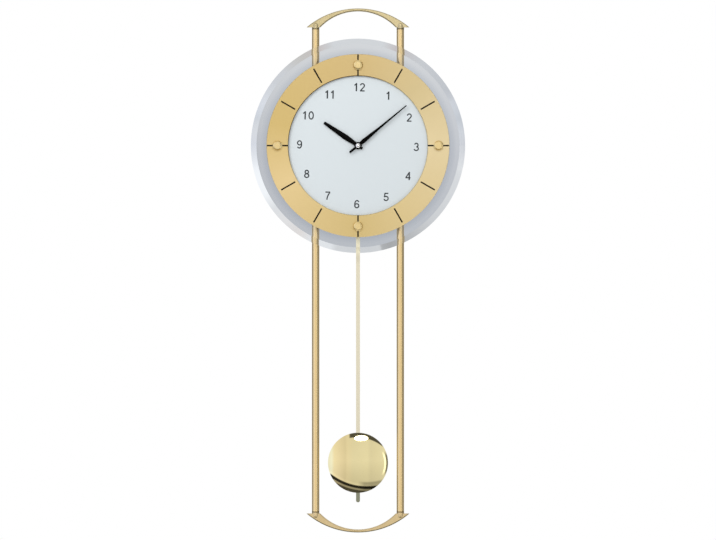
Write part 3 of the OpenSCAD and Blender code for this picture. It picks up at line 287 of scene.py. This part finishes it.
# Glass fibre board under green solder mask, with the weave and the tracks showing through
def boardMaterial():
    material, tree, shader, place = startMaterial("greenSolderMask",
                                                  {"IOR": 1.5, "Coat Weight": 0.5,
                                                   "Coat Roughness": 0.15})
    tracks = addNode(tree, "ShaderNodeMapping", {"Vector": place, "Scale": (400, 400, 400)})
    cells = addNode(tree, "ShaderNodeTexVoronoi", {"Vector": tracks.outputs["Vector"],
                                                   "Scale": 1.0}, distance="MANHATTAN")
    ramp = addNode(tree, "ShaderNodeValToRGB", {"Fac": cells.outputs["Distance"]})
    setStops(ramp, [(0.35, "#1c5c36"), (0.42, "#2b7a48")])
    tree.links.new(ramp.outputs["Color"], shader.inputs["Base Color"])
    weave = grainNoise(tree, place, (0.6, 0.6, 0.6))
    addGrain(tree, shader, weave, (0.3, 0.42), 0.4, 0.02)
    return material


# Plain printed sleeve of the cell: two colour bands and a bare steel top
def sleeveMaterial():
    low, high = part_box("battery")
    material, tree, shader, place = startMaterial("shrinkSleeve", {"IOR": 1.5,
                                                                   "Coat Weight": 0.6,
                                                                   "Coat Roughness": 0.1})
    height = addNode(tree, "ShaderNodeSeparateXYZ", {"Vector": place}).outputs["Z"]
    share = mapRange(tree, height, 0, 1, low.z, high.z)
    ramp = addNode(tree, "ShaderNodeValToRGB", {"Fac": share})
    ramp.color_ramp.interpolation = "CONSTANT"
    setStops(ramp, [(0.0, "#b8bbbf"), (0.015, "#24507c"), (0.62, "#c9ccd0"),
                    (0.64, "#1d2126"), (0.965, "#b8bbbf")])
    tree.links.new(ramp.outputs["Color"], shader.inputs["Base Color"])
    scuffs = grainNoise(tree, place, (2, 2, 0.5))
    tree.links.new(mapRange(tree, scuffs, 0.22, 0.34), shader.inputs["Roughness"])
    return material


# Mineral glass, ground and polished: clear, with painted shade beside the ring
def glassMaterial():
    tints = {"clear": "#fdfefe", "shadeBesideRing": "#e6eaee", "reach": 8 * mm}
    material, tree, shader, place = startMaterial(
        "polishedMineralGlass", {"Transmission Weight": 1.0, "IOR": 1.5})
    centred = addNode(tree, "ShaderNodeMapping", {"Vector": place, "Location": (0, 0, -handZ),
                                                  "Scale": (1, 0, 1)})
    radius = addNode(tree, "ShaderNodeVectorMath", {0: centred.outputs["Vector"]},
                     operation="LENGTH").outputs["Value"]
    fade = addNode(tree, "ShaderNodeValToRGB",
                   {"Fac": mapRange(tree, radius, 0, 1, ringRadius,
                                    ringRadius + tints["reach"])})
    setStops(fade, [(0.0, tints["shadeBesideRing"]), (1.0, tints["clear"])])
    tree.links.new(fade.outputs["Color"], shader.inputs["Base Color"])
    polish = grainNoise(tree, place, (30, 30, 30))
    tree.links.new(mapRange(tree, polish, 0.0, 0.03), shader.inputs["Roughness"])
    return material


# Aluminium sheet, blasted and printed silver white, with a faint painted light that is paler to
# the upper left, and a very fine matt grain
def dialMaterial():
    material, tree, shader, place = startMaterial(
        "blastedSilverDial", {"Metallic": 0.15, "IOR": 1.5})
    paintedLightSlant = addNode(tree, "ShaderNodeMapping",
                    {"Vector": place, "Location": (0, 0, -handZ),
                     "Rotation": (0, math.radians(45), 0)})
    split = addNode(tree, "ShaderNodeSeparateXYZ", {"Vector": paintedLightSlant.outputs["Vector"]})
    tone = addNode(tree, "ShaderNodeValToRGB",
                   {"Fac": mapRange(tree, split.outputs["Z"], 0, 1, -0.08, 0.08)})
    setStops(tone, [(0.0, "#dae1e4"), (1.0, "#dfe6e9")])
    tree.links.new(tone.outputs["Color"], shader.inputs["Base Color"])
    grain = grainNoise(tree, place, (0.35, 0.35, 0.35), 3.0)
    addGrain(tree, shader, grain, (0.44, 0.56), 0.3, 0.006)
    return material


# Brass sheet turned flat and lacquered matt gold: a painted sheen in its colour is palest to
# the right and to the lower left, faint level streaks cross it, and painted shade darkens its
# inner rim at the upper left
def ringMaterial():
    # Painted shade on the inner rim's chamfer, over the upper-left arc
    rim = {"shade": "#5a4526", "ringWidth": 25 * mm, "chamfer": 0.6 * mm}
    # Painted sheen: the base colour set by clock angle
    sheen = {-180: "#d8c187", -115: "#e9d19b", -75: "#d5bc7d", 0: "#ccb480", 45: "#cfbd90",
             90: "#e2d1a7", 150: "#dec995", 180: "#d8c187"}
    material, tree, shader, place = startMaterial("satinGoldLacquer", {"Metallic": 1.0})
    centred = addNode(tree, "ShaderNodeMapping", {"Vector": place, "Location": (0, 0, -handZ)})
    split = addNode(tree, "ShaderNodeSeparateXYZ",
                    {"Vector": centred.outputs["Vector"]}).outputs
    clockAngle = addNode(tree, "ShaderNodeMath", {0: split["X"], 1: split["Z"]},
                         operation="ARCTAN2").outputs["Value"]
    tone = addNode(tree, "ShaderNodeValToRGB",
                   {"Fac": mapRange(tree, clockAngle, 0, 1, -math.pi, math.pi)})
    setStops(tone, [((angle + 180) / 360, shade) for angle, shade in sheen.items()])
    flat = addNode(tree, "ShaderNodeVectorMath", {0: centred.outputs["Vector"], 1: (1, 0, 1)},
                   operation="MULTIPLY").outputs["Vector"]
    radius = addNode(tree, "ShaderNodeVectorMath", {0: flat}, operation="LENGTH")
    innerRadius = ringRadius - rim["ringWidth"]
    reach = mapRange(tree, radius.outputs["Value"], 1, 0, innerRadius + rim["chamfer"],
                     innerRadius + rim["chamfer"] * 1.3)
    begins = mapRange(tree, clockAngle, 0, 1, math.radians(-115), math.radians(-85))
    ends = mapRange(tree, clockAngle, 1, 0, math.radians(5), math.radians(40))
    arc = addNode(tree, "ShaderNodeMath", {0: begins, 1: ends}, operation="MULTIPLY")
    share = addNode(tree, "ShaderNodeMath", {0: reach, 1: arc.outputs["Value"]},
                    operation="MULTIPLY").outputs["Value"]
    withPaintedRimShade = addNode(tree, "ShaderNodeMix", {"Factor": share, "A": tone.outputs["Color"],
                                             "B": linearColour(rim["shade"])},
                     data_type="RGBA").outputs[2]
    tree.links.new(withPaintedRimShade, shader.inputs["Base Color"])
    streaks = grainNoise(tree, place, (8, 8, 0.3), 3.0)
    addGrain(tree, shader, streaks, (0.34, 0.42), 0.5, 0.003)
    return material


# Rolled brass strip: pale lacquered gold, with painted light behind the glass; grey below the
# bob
def stripMaterial():
    material, tree, shader, place = startMaterial("rolledBrassStrip", {"Metallic": 1.0})
    height = addNode(tree, "ShaderNodeSeparateXYZ", {"Vector": place}).outputs["Z"]
    tone = addNode(tree, "ShaderNodeValToRGB",
                   {"Fac": mapRange(tree, height, 0, 1, bobLow.z, handZ)})
    setStops(tone, [(0.0, "#8f927f"), (0.01, "#eae4cf"), (0.68, "#eae4cf"), (0.7, "#fff9de")])
    tree.links.new(tone.outputs["Color"], shader.inputs["Base Color"])
    drawn = grainNoise(tree, place, (0.3, 0.3, 12))
    addGrain(tree, shader, drawn, (0.28, 0.36), 0.5, 0.001)
    return material


made["satinGold"] = ringMaterial()
made["stripBrass"] = stripMaterial()
made["glass"] = glassMaterial()
made["dial"] = dialMaterial()
made["board"] = boardMaterial()
made["sleeve"] = sleeveMaterial()
made["flatCoil"] = windingMaterial("pancakeWinding", "radial", 0.5)
made["longCoil"] = windingMaterial("layerWinding", "X", 0.4)

dress(made["satinGold"], "hour_ring")
dress(made["tubeGold"], "rod_left", "rod_right", "wall_spacers")
dress(made["shadedBowGold"], "top_bow")
dress(made["litBowGold"], "bottom_bow")
dress(made["turnedGold"], "ring_knobs")
dress(made["mirrorBrass"], "bob_front", "bob_back")
dress(made["stripBrass"], "pendulum_rod")
dress(made["barBrass"], "center_bush", "bush_nut", "minute_wheel", "cannon_pinion")
dress(made["zincSteel"], "rod_plugs", "bow_studs", "hanger_bracket", "hanger_rivets",
      "rod_clamps", "clamp_screws", "ring_spacers", "knob_nuts", "case_screws", "bush_washer",
      "bridge_screws", "setting_post", "lever_pivot", "battery_contacts", "bob_clip")
dress(made["laminate"], "stator_plate")
dress(made["powderBlack"], "carrier_plate")
dress(made["handEnamel"], "hour_hand", "minute_hand")
dress(made["tickInk"], "hour_markers")
dress(made["dial"], "dial_plate")
dress(made["glass"], "glass_disc")
dress(made["padRubber"], "wall_pads")
dress(made["felt"], "glass_gasket")
dress(made["caseAbs"], "movement_case", "rear_cover")
dress(made["epoxy"], "board_chips")
dress(made["whiteAcetal"], "train_bridge", "hour_wheel", "setting_wheel",
      "intermediate_wheel", "rotor_arbor", "pendulum_lever")
dress(made["greyButton"], "reset_button", "set_button")
dress(made["nickel"], "rotor_magnet", "drive_magnet")
dress(made["chrome"], "hand_nut")
dress(made["ferrite"], "ferrite_rod")
dress(made["longCoil"], "motor_coil", "antenna_coil")
dress(made["flatCoil"], "drive_coil")
dress(made["board"], "circuit_board")
dress(made["sleeve"], "battery")
print("nodes dressed:", sum(1 for o in nodes.values() if o.data.materials))


# Pieces made here

def addPiece(name, mesh, material, body, replaced=()):
    piece = bpy.data.objects.new(name, mesh)
    scene.collection.objects.link(piece)
    piece.data.materials.clear()
    piece.data.materials.append(material)
    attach(piece, body)
    if replaced:
        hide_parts(*replaced)
    return piece


def finishMesh(shape, name, smoothAngle=35):
    bmesh.ops.remove_doubles(shape, verts=shape.verts, dist=1e-6)
    bmesh.ops.recalc_face_normals(shape, faces=shape.faces)
    for face in shape.faces:
        face.smooth = True
    for edge in shape.edges:
        if len(edge.link_faces) == 2:
            edge.smooth = edge.calc_face_angle() < math.radians(smoothAngle)
    mesh = bpy.data.meshes.new(name)
    shape.to_mesh(mesh)
    shape.free()
    return mesh


# A digit one unit high as pen strokes: arc (centre, radii, from, to in degrees) or points
digitStrokes = {
    "0": [("arc", 0.32, 0.5, 0.255, 0.44, 0, 360)],
    "1": [("line", (0.37, 0), (0.37, 1)),
          ("line", (0.37, 0.95), (0.31, 0.865), (0.23, 0.79), (0.12, 0.73))],
    "2": [("arc", 0.32, 0.70, 0.235, 0.2375, 172, -35),
          ("line", (0.5125, 0.564), (0.30, 0.32), (0.17, 0.18), (0.10, 0.06)),
          ("line", (0.03, 0.0625), (0.60, 0.0625))],
    "3": [("arc", 0.30, 0.7225, 0.205, 0.215, 165, -90),
          ("arc", 0.30, 0.285, 0.25, 0.2225, 90, -168)],
    "4": [("line", (0.47, 0), (0.47, 1)), ("line", (0.475, 0.95), (0.06, 0.30)),
          ("line", (0.015, 0.285), (0.63, 0.285))],
    "5": [("line", (0.155, 0.9375), (0.57, 0.9375)), ("line", (0.175, 0.96), (0.10, 0.47)),
          ("arc", 0.31, 0.315, 0.25, 0.2525, 146, -168)],
    "6": [("arc", 0.325, 0.305, 0.24, 0.2425, 0, 360),
          ("arc", 0.345, 0.5, 0.265, 0.4375, 38, 210)],
    "7": [("line", (0.04, 0.9375), (0.61, 0.9375)),
          ("line", (0.585, 0.91), (0.43, 0.69), (0.31, 0.42), (0.25, 0.2), (0.225, 0))],
    "8": [("arc", 0.32, 0.735, 0.2, 0.2025, 0, 360),
          ("arc", 0.32, 0.285, 0.25, 0.2225, 0, 360)],
}
digitWidth = 0.64
digitStrokes["9"] = [("arc", digitWidth - cx, 1 - cz, rx, rz, start + 180, end + 180)
                     for kind, cx, cz, rx, rz, start, end in digitStrokes["6"]]
numerals = {"height": 9.4 * mm, "radius": 66.8 * mm, "advance": 0.776, "kerned": 0.69,
            "pen": 0.172, "turn": 1.2, "ink": 0.03 * mm, "arcStep": 9}


def strokePoints(stroke):
    if stroke[0] == "line":
        return list(stroke[1:])
    kind, cx, cz, rx, rz, start, end = stroke
    steps = max(8, int(abs(end - start) / numerals["arcStep"]))
    angles = [math.radians(start + (end - start) * i / steps) for i in range(steps + 1)]
    return [(cx + rx * math.cos(a), cz + rz * math.sin(a)) for a in angles]


# Every stroke is swept with a round pen, made a mesh and pressed flat on the dial. The
# print sits a degree clockwise, as the photo shows it.
def numeralMesh():
    pen = bpy.data.curves.new("numerals", "CURVE")
    pen.dimensions = "3D"
    pen.bevel_depth = numerals["pen"] / 2 * numerals["height"]
    pen.bevel_resolution = 1
    pen.use_fill_caps = True
    for hour in range(1, 13):
        word = str(hour)
        advance = numerals["kerned" if word == "11" else "advance"]
        width = digitWidth + advance * (len(word) - 1)
        angle = math.radians(30 * hour)
        for index, digit in enumerate(word):
            for stroke in digitStrokes[digit]:
                points = strokePoints(stroke)
                closed = stroke[0] == "arc" and abs(stroke[6] - stroke[5]) == 360
                if closed:
                    points.pop()
                spline = pen.splines.new("POLY")
                spline.use_cyclic_u = closed
                spline.points.add(len(points) - 1)
                for point, (x, z) in zip(spline.points, points):
                    x += advance * index - width / 2
                    point.co = (numerals["radius"] * math.sin(angle) + x * numerals["height"],
                                0, handZ + numerals["radius"] * math.cos(angle)
                                + (z - 0.5) * numerals["height"], 1)
    holder = bpy.data.objects.new("numerals", pen)
    scene.collection.objects.link(holder)
    bpy.context.view_layer.update()
    sweep = bpy.data.meshes.new_from_object(
        holder.evaluated_get(bpy.context.evaluated_depsgraph_get()))
    bpy.data.objects.remove(holder)
    shape = bmesh.new()
    shape.from_mesh(sweep)
    flatten = numerals["ink"] / pen.bevel_depth
    bmesh.ops.scale(shape, verts=shape.verts, vec=(1, flatten, 1))
    bmesh.ops.rotate(shape, verts=shape.verts, cent=(0, 0, handZ),
                     matrix=Matrix.Rotation(math.radians(numerals["turn"]), 3, "Y"))
    bmesh.ops.translate(shape, verts=shape.verts, vec=(0, dialFront, 0))
    return finishMesh(shape, "dialNumerals")


addPiece("dialNumerals", numeralMesh(), made["numeralInk"], "frame")
print("numerals printed")


# The bob's pressed shells, spun round its centre line: rim, dome, then the wall inside
bobShell = {"rim": 1.0 * mm, "wall": 0.6 * mm, "arcSteps": 28, "turnSteps": 160}


def domeProfile(radius, height):
    dome = height - bobShell["rim"]
    ball = (radius ** 2 + dome ** 2) / (2 * dome)
    most = math.asin(radius / ball)
    profile = []
    for step in range(bobShell["arcSteps"] + 1):
        angle = most * step / bobShell["arcSteps"]
        profile.append((ball * math.sin(angle), height - ball * (1 - math.cos(angle))))
    return profile + [(radius, 0)]


def bobMesh(name, facing, height):
    radius = (bobHigh.x - bobLow.x) / 2
    outer = domeProfile(radius, height)
    inner = domeProfile(radius - bobShell["wall"], height - bobShell["wall"])
    shape = bmesh.new()
    line = [shape.verts.new((bobCentre.x + across, bobCentre.y - facing * out, bobCentre.z))
            for across, out in outer + inner[::-1]]
    edges = [shape.edges.new(pair) for pair in zip(line, line[1:])]
    bmesh.ops.spin(shape, geom=line + edges, cent=bobCentre, axis=(0, 1, 0),
                   angle=2 * math.pi, steps=bobShell["turnSteps"], use_merge=True)
    return finishMesh(shape, name, 40)


for name, facing, node in (("bobFrontShell", 1, "bob_front"), ("bobBackShell", -1, "bob_back")):
    low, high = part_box(node)
    addPiece(name, bobMesh(name, facing, high.y - low.y), made["mirrorBrass"], "bob", [node])
# Polished pieces mirror the room, not the tubes and the glass
for name in ("rod_left", "rod_right", "glass_disc"):
    nodes[name].visible_glossy = False
print("bob spun")


# Studio

# The frame is as wide as given at the clock's middle depth, the plane
camera = {"distance": 4.4, "height": -0.2120, "frameWidth": 0.8202, "plane": -0.02275,
          "sensorMm": 36}
lens = bpy.data.cameras.new("camera")
lens.sensor_width = camera["sensorMm"]
lens.lens = camera["sensorMm"] * camera["distance"] / camera["frameWidth"]
eye = bpy.data.objects.new("camera", lens)
eye.location = (0, camera["plane"] - camera["distance"], camera["height"])
eye.rotation_euler = (math.radians(90), 0, 0)
scene.collection.objects.link(eye)
scene.camera = eye

lamps = {
    # The key lights matt surfaces from the upper left; the round box is the bob's highlight
    "keyBox": {"place": (-1.25, -1.75, 0.95), "shape": "RECTANGLE", "size": (1.1, 1.1),
               "watts": 19, "mirrored": False},
    "topBox": {"place": (0.16, -1.92, 0.69), "shape": "ELLIPSE", "size": (0.68, 0.27),
               "watts": 4, "mirrored": True},
}
lampTarget = Vector((0, 0, -0.15))
for name, lamp in lamps.items():
    light = bpy.data.lights.new(name, "AREA")
    light.shape = lamp["shape"]
    light.size, light.size_y = lamp["size"]
    light.energy = lamp["watts"]
    holder = bpy.data.objects.new(name, light)
    holder.location = lamp["place"]
    aim = lampTarget - Vector(lamp["place"])
    holder.rotation_euler = aim.to_track_quat("-Z", "Y").to_euler()
    holder.visible_glossy = lamp["mirrored"]
    scene.collection.objects.link(holder)


stageFloor = {"halfWidth": 3, "height": -1.5, "fadeFrom": 0.9, "fadeTo": 2.2}


# Matt pale paint that carries the shadow, and goes over to white well away from the clock
def floorMaterial():
    material, tree, shader, place = startMaterial("paintedFloor", {"Roughness": 0.8})
    spots = grainNoise(tree, place, (180, 180, 180), 3.0)
    ramp = addNode(tree, "ShaderNodeValToRGB", {"Fac": spots})
    setStops(ramp, [(0.3, "#f2f2f1"), (0.7, "#f6f6f5")])
    tree.links.new(ramp.outputs["Color"], shader.inputs["Base Color"])
    flat = addNode(tree, "ShaderNodeVectorMath", {0: place, 1: (1, 1, 0)},
                   operation="MULTIPLY").outputs["Vector"]
    radius = addNode(tree, "ShaderNodeVectorMath", {0: flat}, operation="LENGTH")
    share = addNode(tree, "ShaderNodeMath",
                    {0: mapRange(tree, radius.outputs["Value"], 0, 1,
                                 stageFloor["fadeFrom"], stageFloor["fadeTo"]),
                     1: addNode(tree, "ShaderNodeLightPath").outputs["Is Camera Ray"]},
                    operation="MULTIPLY")
    white = addNode(tree, "ShaderNodeEmission", {"Color": (1, 1, 1, 1), "Strength": 1.0})
    both = addNode(tree, "ShaderNodeMixShader", {"Fac": share.outputs["Value"],
                                                 1: shader.outputs["BSDF"],
                                                 2: white.outputs["Emission"]})
    tree.links.new(both.outputs["Shader"], tree.nodes["Material Output"].inputs["Surface"])
    return material


floorShape = bmesh.new()
bmesh.ops.create_grid(floorShape, x_segments=1, y_segments=1, size=stageFloor["halfWidth"])
bmesh.ops.translate(floorShape, verts=floorShape.verts, vec=(0, 0, stageFloor["height"]))
floorMesh = bpy.data.meshes.new("floor")
floorShape.to_mesh(floorMesh)
floorShape.free()
floor = bpy.data.objects.new("floor", floorMesh)
floor.data.materials.append(floorMaterial())
floor.visible_glossy = False
scene.collection.objects.link(floor)


# The room: even soft light on matt surfaces, white for the camera. Polished surfaces see
# a white room in front with a few dark edges, and a dimmer one behind; the backdrop seen
# straight through the glass is pale grey, with painted shadow and painted light on it.
softLight = {"tint": "#f3f5f7", "strength": 0.72}
room = bpy.data.worlds.new("room")
room.use_nodes = True
scene.world = room
sky = room.node_tree
sky.nodes.clear()
heading = addNode(sky, "ShaderNodeTexCoord").outputs["Generated"]
axes = addNode(sky, "ShaderNodeSeparateXYZ", {"Vector": heading})


def calculate(operation, *values):
    return addNode(sky, "ShaderNodeMath", dict(enumerate(values)),
                   operation=operation).outputs["Value"]


def skyRamp(value, stops):
    ramp = addNode(sky, "ShaderNodeValToRGB", {"Fac": value})
    setStops(ramp, stops)
    return ramp.outputs["Color"]


def blend(kind, factor, first, second):
    return addNode(sky, "ShaderNodeMix", {"Factor": factor, "A": first, "B": second},
                   data_type="RGBA", blend_type=kind).outputs[2]


def grey(value):
    return (value, value, value, 1)


def within(axis, low, high):
    return mapRange(sky, axes.outputs[axis], 0, 1, low, high)


# A ramp across the view; the stops are directions' X
def acrossRamp(stops):
    reach = 0.2
    return skyRamp(within("X", -reach, reach),
                   [((at + reach) / (2 * reach), tone) for at, tone in stops])


# Rings of light and dark round a direction (X, Z); the stops are distances from it
def ringStops(centre, stops):
    offset = addNode(sky, "ShaderNodeVectorMath", {0: heading, 1: (centre[0], 0, centre[1])},
                     operation="SUBTRACT").outputs["Vector"]
    flat = addNode(sky, "ShaderNodeVectorMath", {0: offset, 1: (1, 0, 1)},
                   operation="MULTIPLY").outputs["Vector"]
    distance = addNode(sky, "ShaderNodeVectorMath", {0: flat},
                       operation="LENGTH").outputs["Value"]
    low, high = stops[0][0], stops[-1][0]
    return skyRamp(mapRange(sky, distance, 0, 1, low, high),
                   [((at - low) / (high - low), grey(tone)) for at, tone in stops])


# The bob mirrors these: its dark lower crescent, its dark top edge and its bright right edge
lowCentre = (0.163, 0.598)
lowRim = ringStops(lowCentre, [(1.0, 1.0), (1.09, 1.0), (1.12, 1.12), (1.145, 1.15),
                               (1.157, 0.03), (1.2, 0.03), (1.208, 0.5), (1.236, 0.5),
                               (1.242, 0.1), (1.31, 0.12), (1.33, 1.0)])
lowBand = ringStops(lowCentre, [(1.05, 1.0), (1.085, 0.55), (1.2, 0.55), (1.3, 1.0)])
highRim = ringStops((-0.023, -0.326), [(0.7, 1.0), (0.83, 1.0), (0.843, 0.1), (0.94, 0.12),
                                       (0.96, 1.0)])
rightRim = ringStops((0, -0.05), [(0.5, 1.0), (0.568, 1.0), (0.574, 1.9), (0.6, 1.9),
                                  (0.612, 0.25), (0.66, 0.25), (0.68, 1.0)])
sides = skyRamp(within("X", -0.65, 0.65),
                [(0.0, (1.04, 1.08, 1.25, 1)), (0.06, (1.12, 1.2, 1.4, 1)),
                 (0.1, (1.1, 1.04, 1.0, 1)), (0.22, (0.97, 0.9, 0.85, 1)),
                 (0.28, (0.9, 0.84, 0.78, 1)), (0.32, (0.98, 0.92, 0.86, 1)),
                 (0.42, (0.93, 0.91, 0.87, 1)), (0.66, (0.97, 0.95, 0.9, 1)),
                 (0.72, (0.9, 0.88, 0.85, 1)), (0.82, (0.95, 0.93, 0.9, 1)),
                 (1.0, (1.0, 1.0, 0.98, 1))])
falling = skyRamp(within("Z", -0.6, 0.6), [(0.0, grey(0.78)), (0.25, grey(0.88)),
                                           (0.5, grey(1.0)), (1.0, grey(0.95))])
front = blend("MULTIPLY", 1.0, sides, falling)
front = blend("MULTIPLY", within("Z", -0.15, -0.25), front, lowRim)
front = blend("MULTIPLY", within("X", 0.0, 0.14), front, lowBand)
front = blend("MULTIPLY", calculate("MULTIPLY", within("X", -0.20, -0.17),
                                    within("Z", 0.1, 0.2)), front, highRim)
level = calculate("MULTIPLY", within("Z", -0.32, -0.22), within("Z", 0.2, 0.1))
front = blend("MULTIPLY", calculate("MULTIPLY", level, within("X", 0.3, 0.4)), front, rightRim)
behind = skyRamp(within("Z", -1, 1), [(0.0, grey(1.1)), (0.2, grey(0.8)), (0.4, grey(0.45)),
                                      (0.5, grey(0.27)), (0.6, grey(0.4)), (1.0, grey(0.8))])
behind = blend("MIX", within("Y", 0.85, 1.0), behind, grey(0.9))
# Seen from the front, the dim part begins sooner on the right than on the left
turned = calculate("ADD", axes.outputs["Y"],
                   calculate("MULTIPLY", axes.outputs["X"], 0.22))
mirrored = blend("MIX", mapRange(sky, turned, 1, 0, -0.6, -0.3), behind, front)
# The pale grey wall seen through the glass: by height, then across, below and above eye level.
# Its darker bands are painted shadow of the clock on the wall, and its brightest stops are
# painted light on the glass's facets
wallHeight = skyRamp(within("Z", -0.12, 0.18),
                     [(0.0, (0.69, 0.71, 0.73, 1)), (0.33, (0.60, 0.63, 0.69, 1)),
                      (0.4, (0.44, 0.47, 0.52, 1)), (0.5, (0.51, 0.53, 0.58, 1)),
                      (0.6, (0.66, 0.68, 0.71, 1)), (1.0, (0.66, 0.68, 0.71, 1))])
lowAcross = acrossRamp([(-0.16, grey(0.95)), (-0.14, grey(1.7)), (-0.126, grey(1.68)),
                        (-0.12, grey(1.2)), (-0.111, grey(0.88)), (-0.075, grey(0.92)),
                        (-0.048, (0.86, 0.77, 0.75, 1)), (-0.03, grey(1.0)),
                        (0.03, grey(1.0)), (0.048, (0.83, 0.74, 0.7, 1)),
                        (0.069, (0.83, 0.79, 0.73, 1)), (0.09, grey(0.92)),
                        (0.1, grey(0.94)), (0.111, grey(1.07)), (0.12, grey(1.22)),
                        (0.126, (1.85, 1.72, 1.5, 1)), (0.14, (1.85, 1.72, 1.5, 1)),
                        (0.16, grey(0.95))])
highAcross = acrossRamp([(-0.16, grey(0.95)), (-0.14, grey(1.25)), (-0.128, grey(1.23)),
                         (-0.126, grey(1.08)), (-0.12, grey(1.02)), (-0.09, grey(0.9)),
                         (-0.039, grey(0.55)), (-0.0285, grey(0.62)), (-0.0261, grey(0.95)),
                         (0.0255, grey(1.0)), (0.033, grey(1.2)), (0.054, grey(1.2)),
                         (0.069, (1.17, 1.09, 1.04, 1)), (0.1, grey(1.09)),
                         (0.111, grey(1.36)), (0.12, grey(1.36)), (0.126, grey(1.24)),
                         (0.128, grey(1.5)), (0.14, grey(1.5)), (0.16, grey(0.95))])
throughGlass = blend("MULTIPLY", 1.0, wallHeight,
                     blend("MIX", within("Z", -0.02, 0.03), lowAcross, highAcross))

rays = addNode(sky, "ShaderNodeLightPath").outputs
bounces = calculate("MINIMUM", calculate("ADD", rays["Glossy Depth"], rays["Diffuse Depth"]),
                    1.0)
straight = calculate("MULTIPLY", rays["Is Transmission Ray"],
                     calculate("SUBTRACT", 1.0, bounces))
polished = calculate("MAXIMUM", rays["Is Glossy Ray"], rays["Is Transmission Ray"])
seen = blend("MIX", polished, grey(1), mirrored)
seen = blend("MIX", straight, seen, throughGlass)
shown = calculate("MAXIMUM", rays["Is Camera Ray"], polished)
soft = addNode(sky, "ShaderNodeBackground", {"Color": linearColour(softLight["tint"]),
                                             "Strength": softLight["strength"]})
bright = addNode(sky, "ShaderNodeBackground", {"Color": seen, "Strength": 1.0})
both = addNode(sky, "ShaderNodeMixShader", {"Fac": shown, 1: soft.outputs["Background"],
                                            2: bright.outputs["Background"]})
addNode(sky, "ShaderNodeOutputWorld", {"Surface": both.outputs["Shader"]})
scene.view_settings.view_transform = "Standard"
print("studio ready")
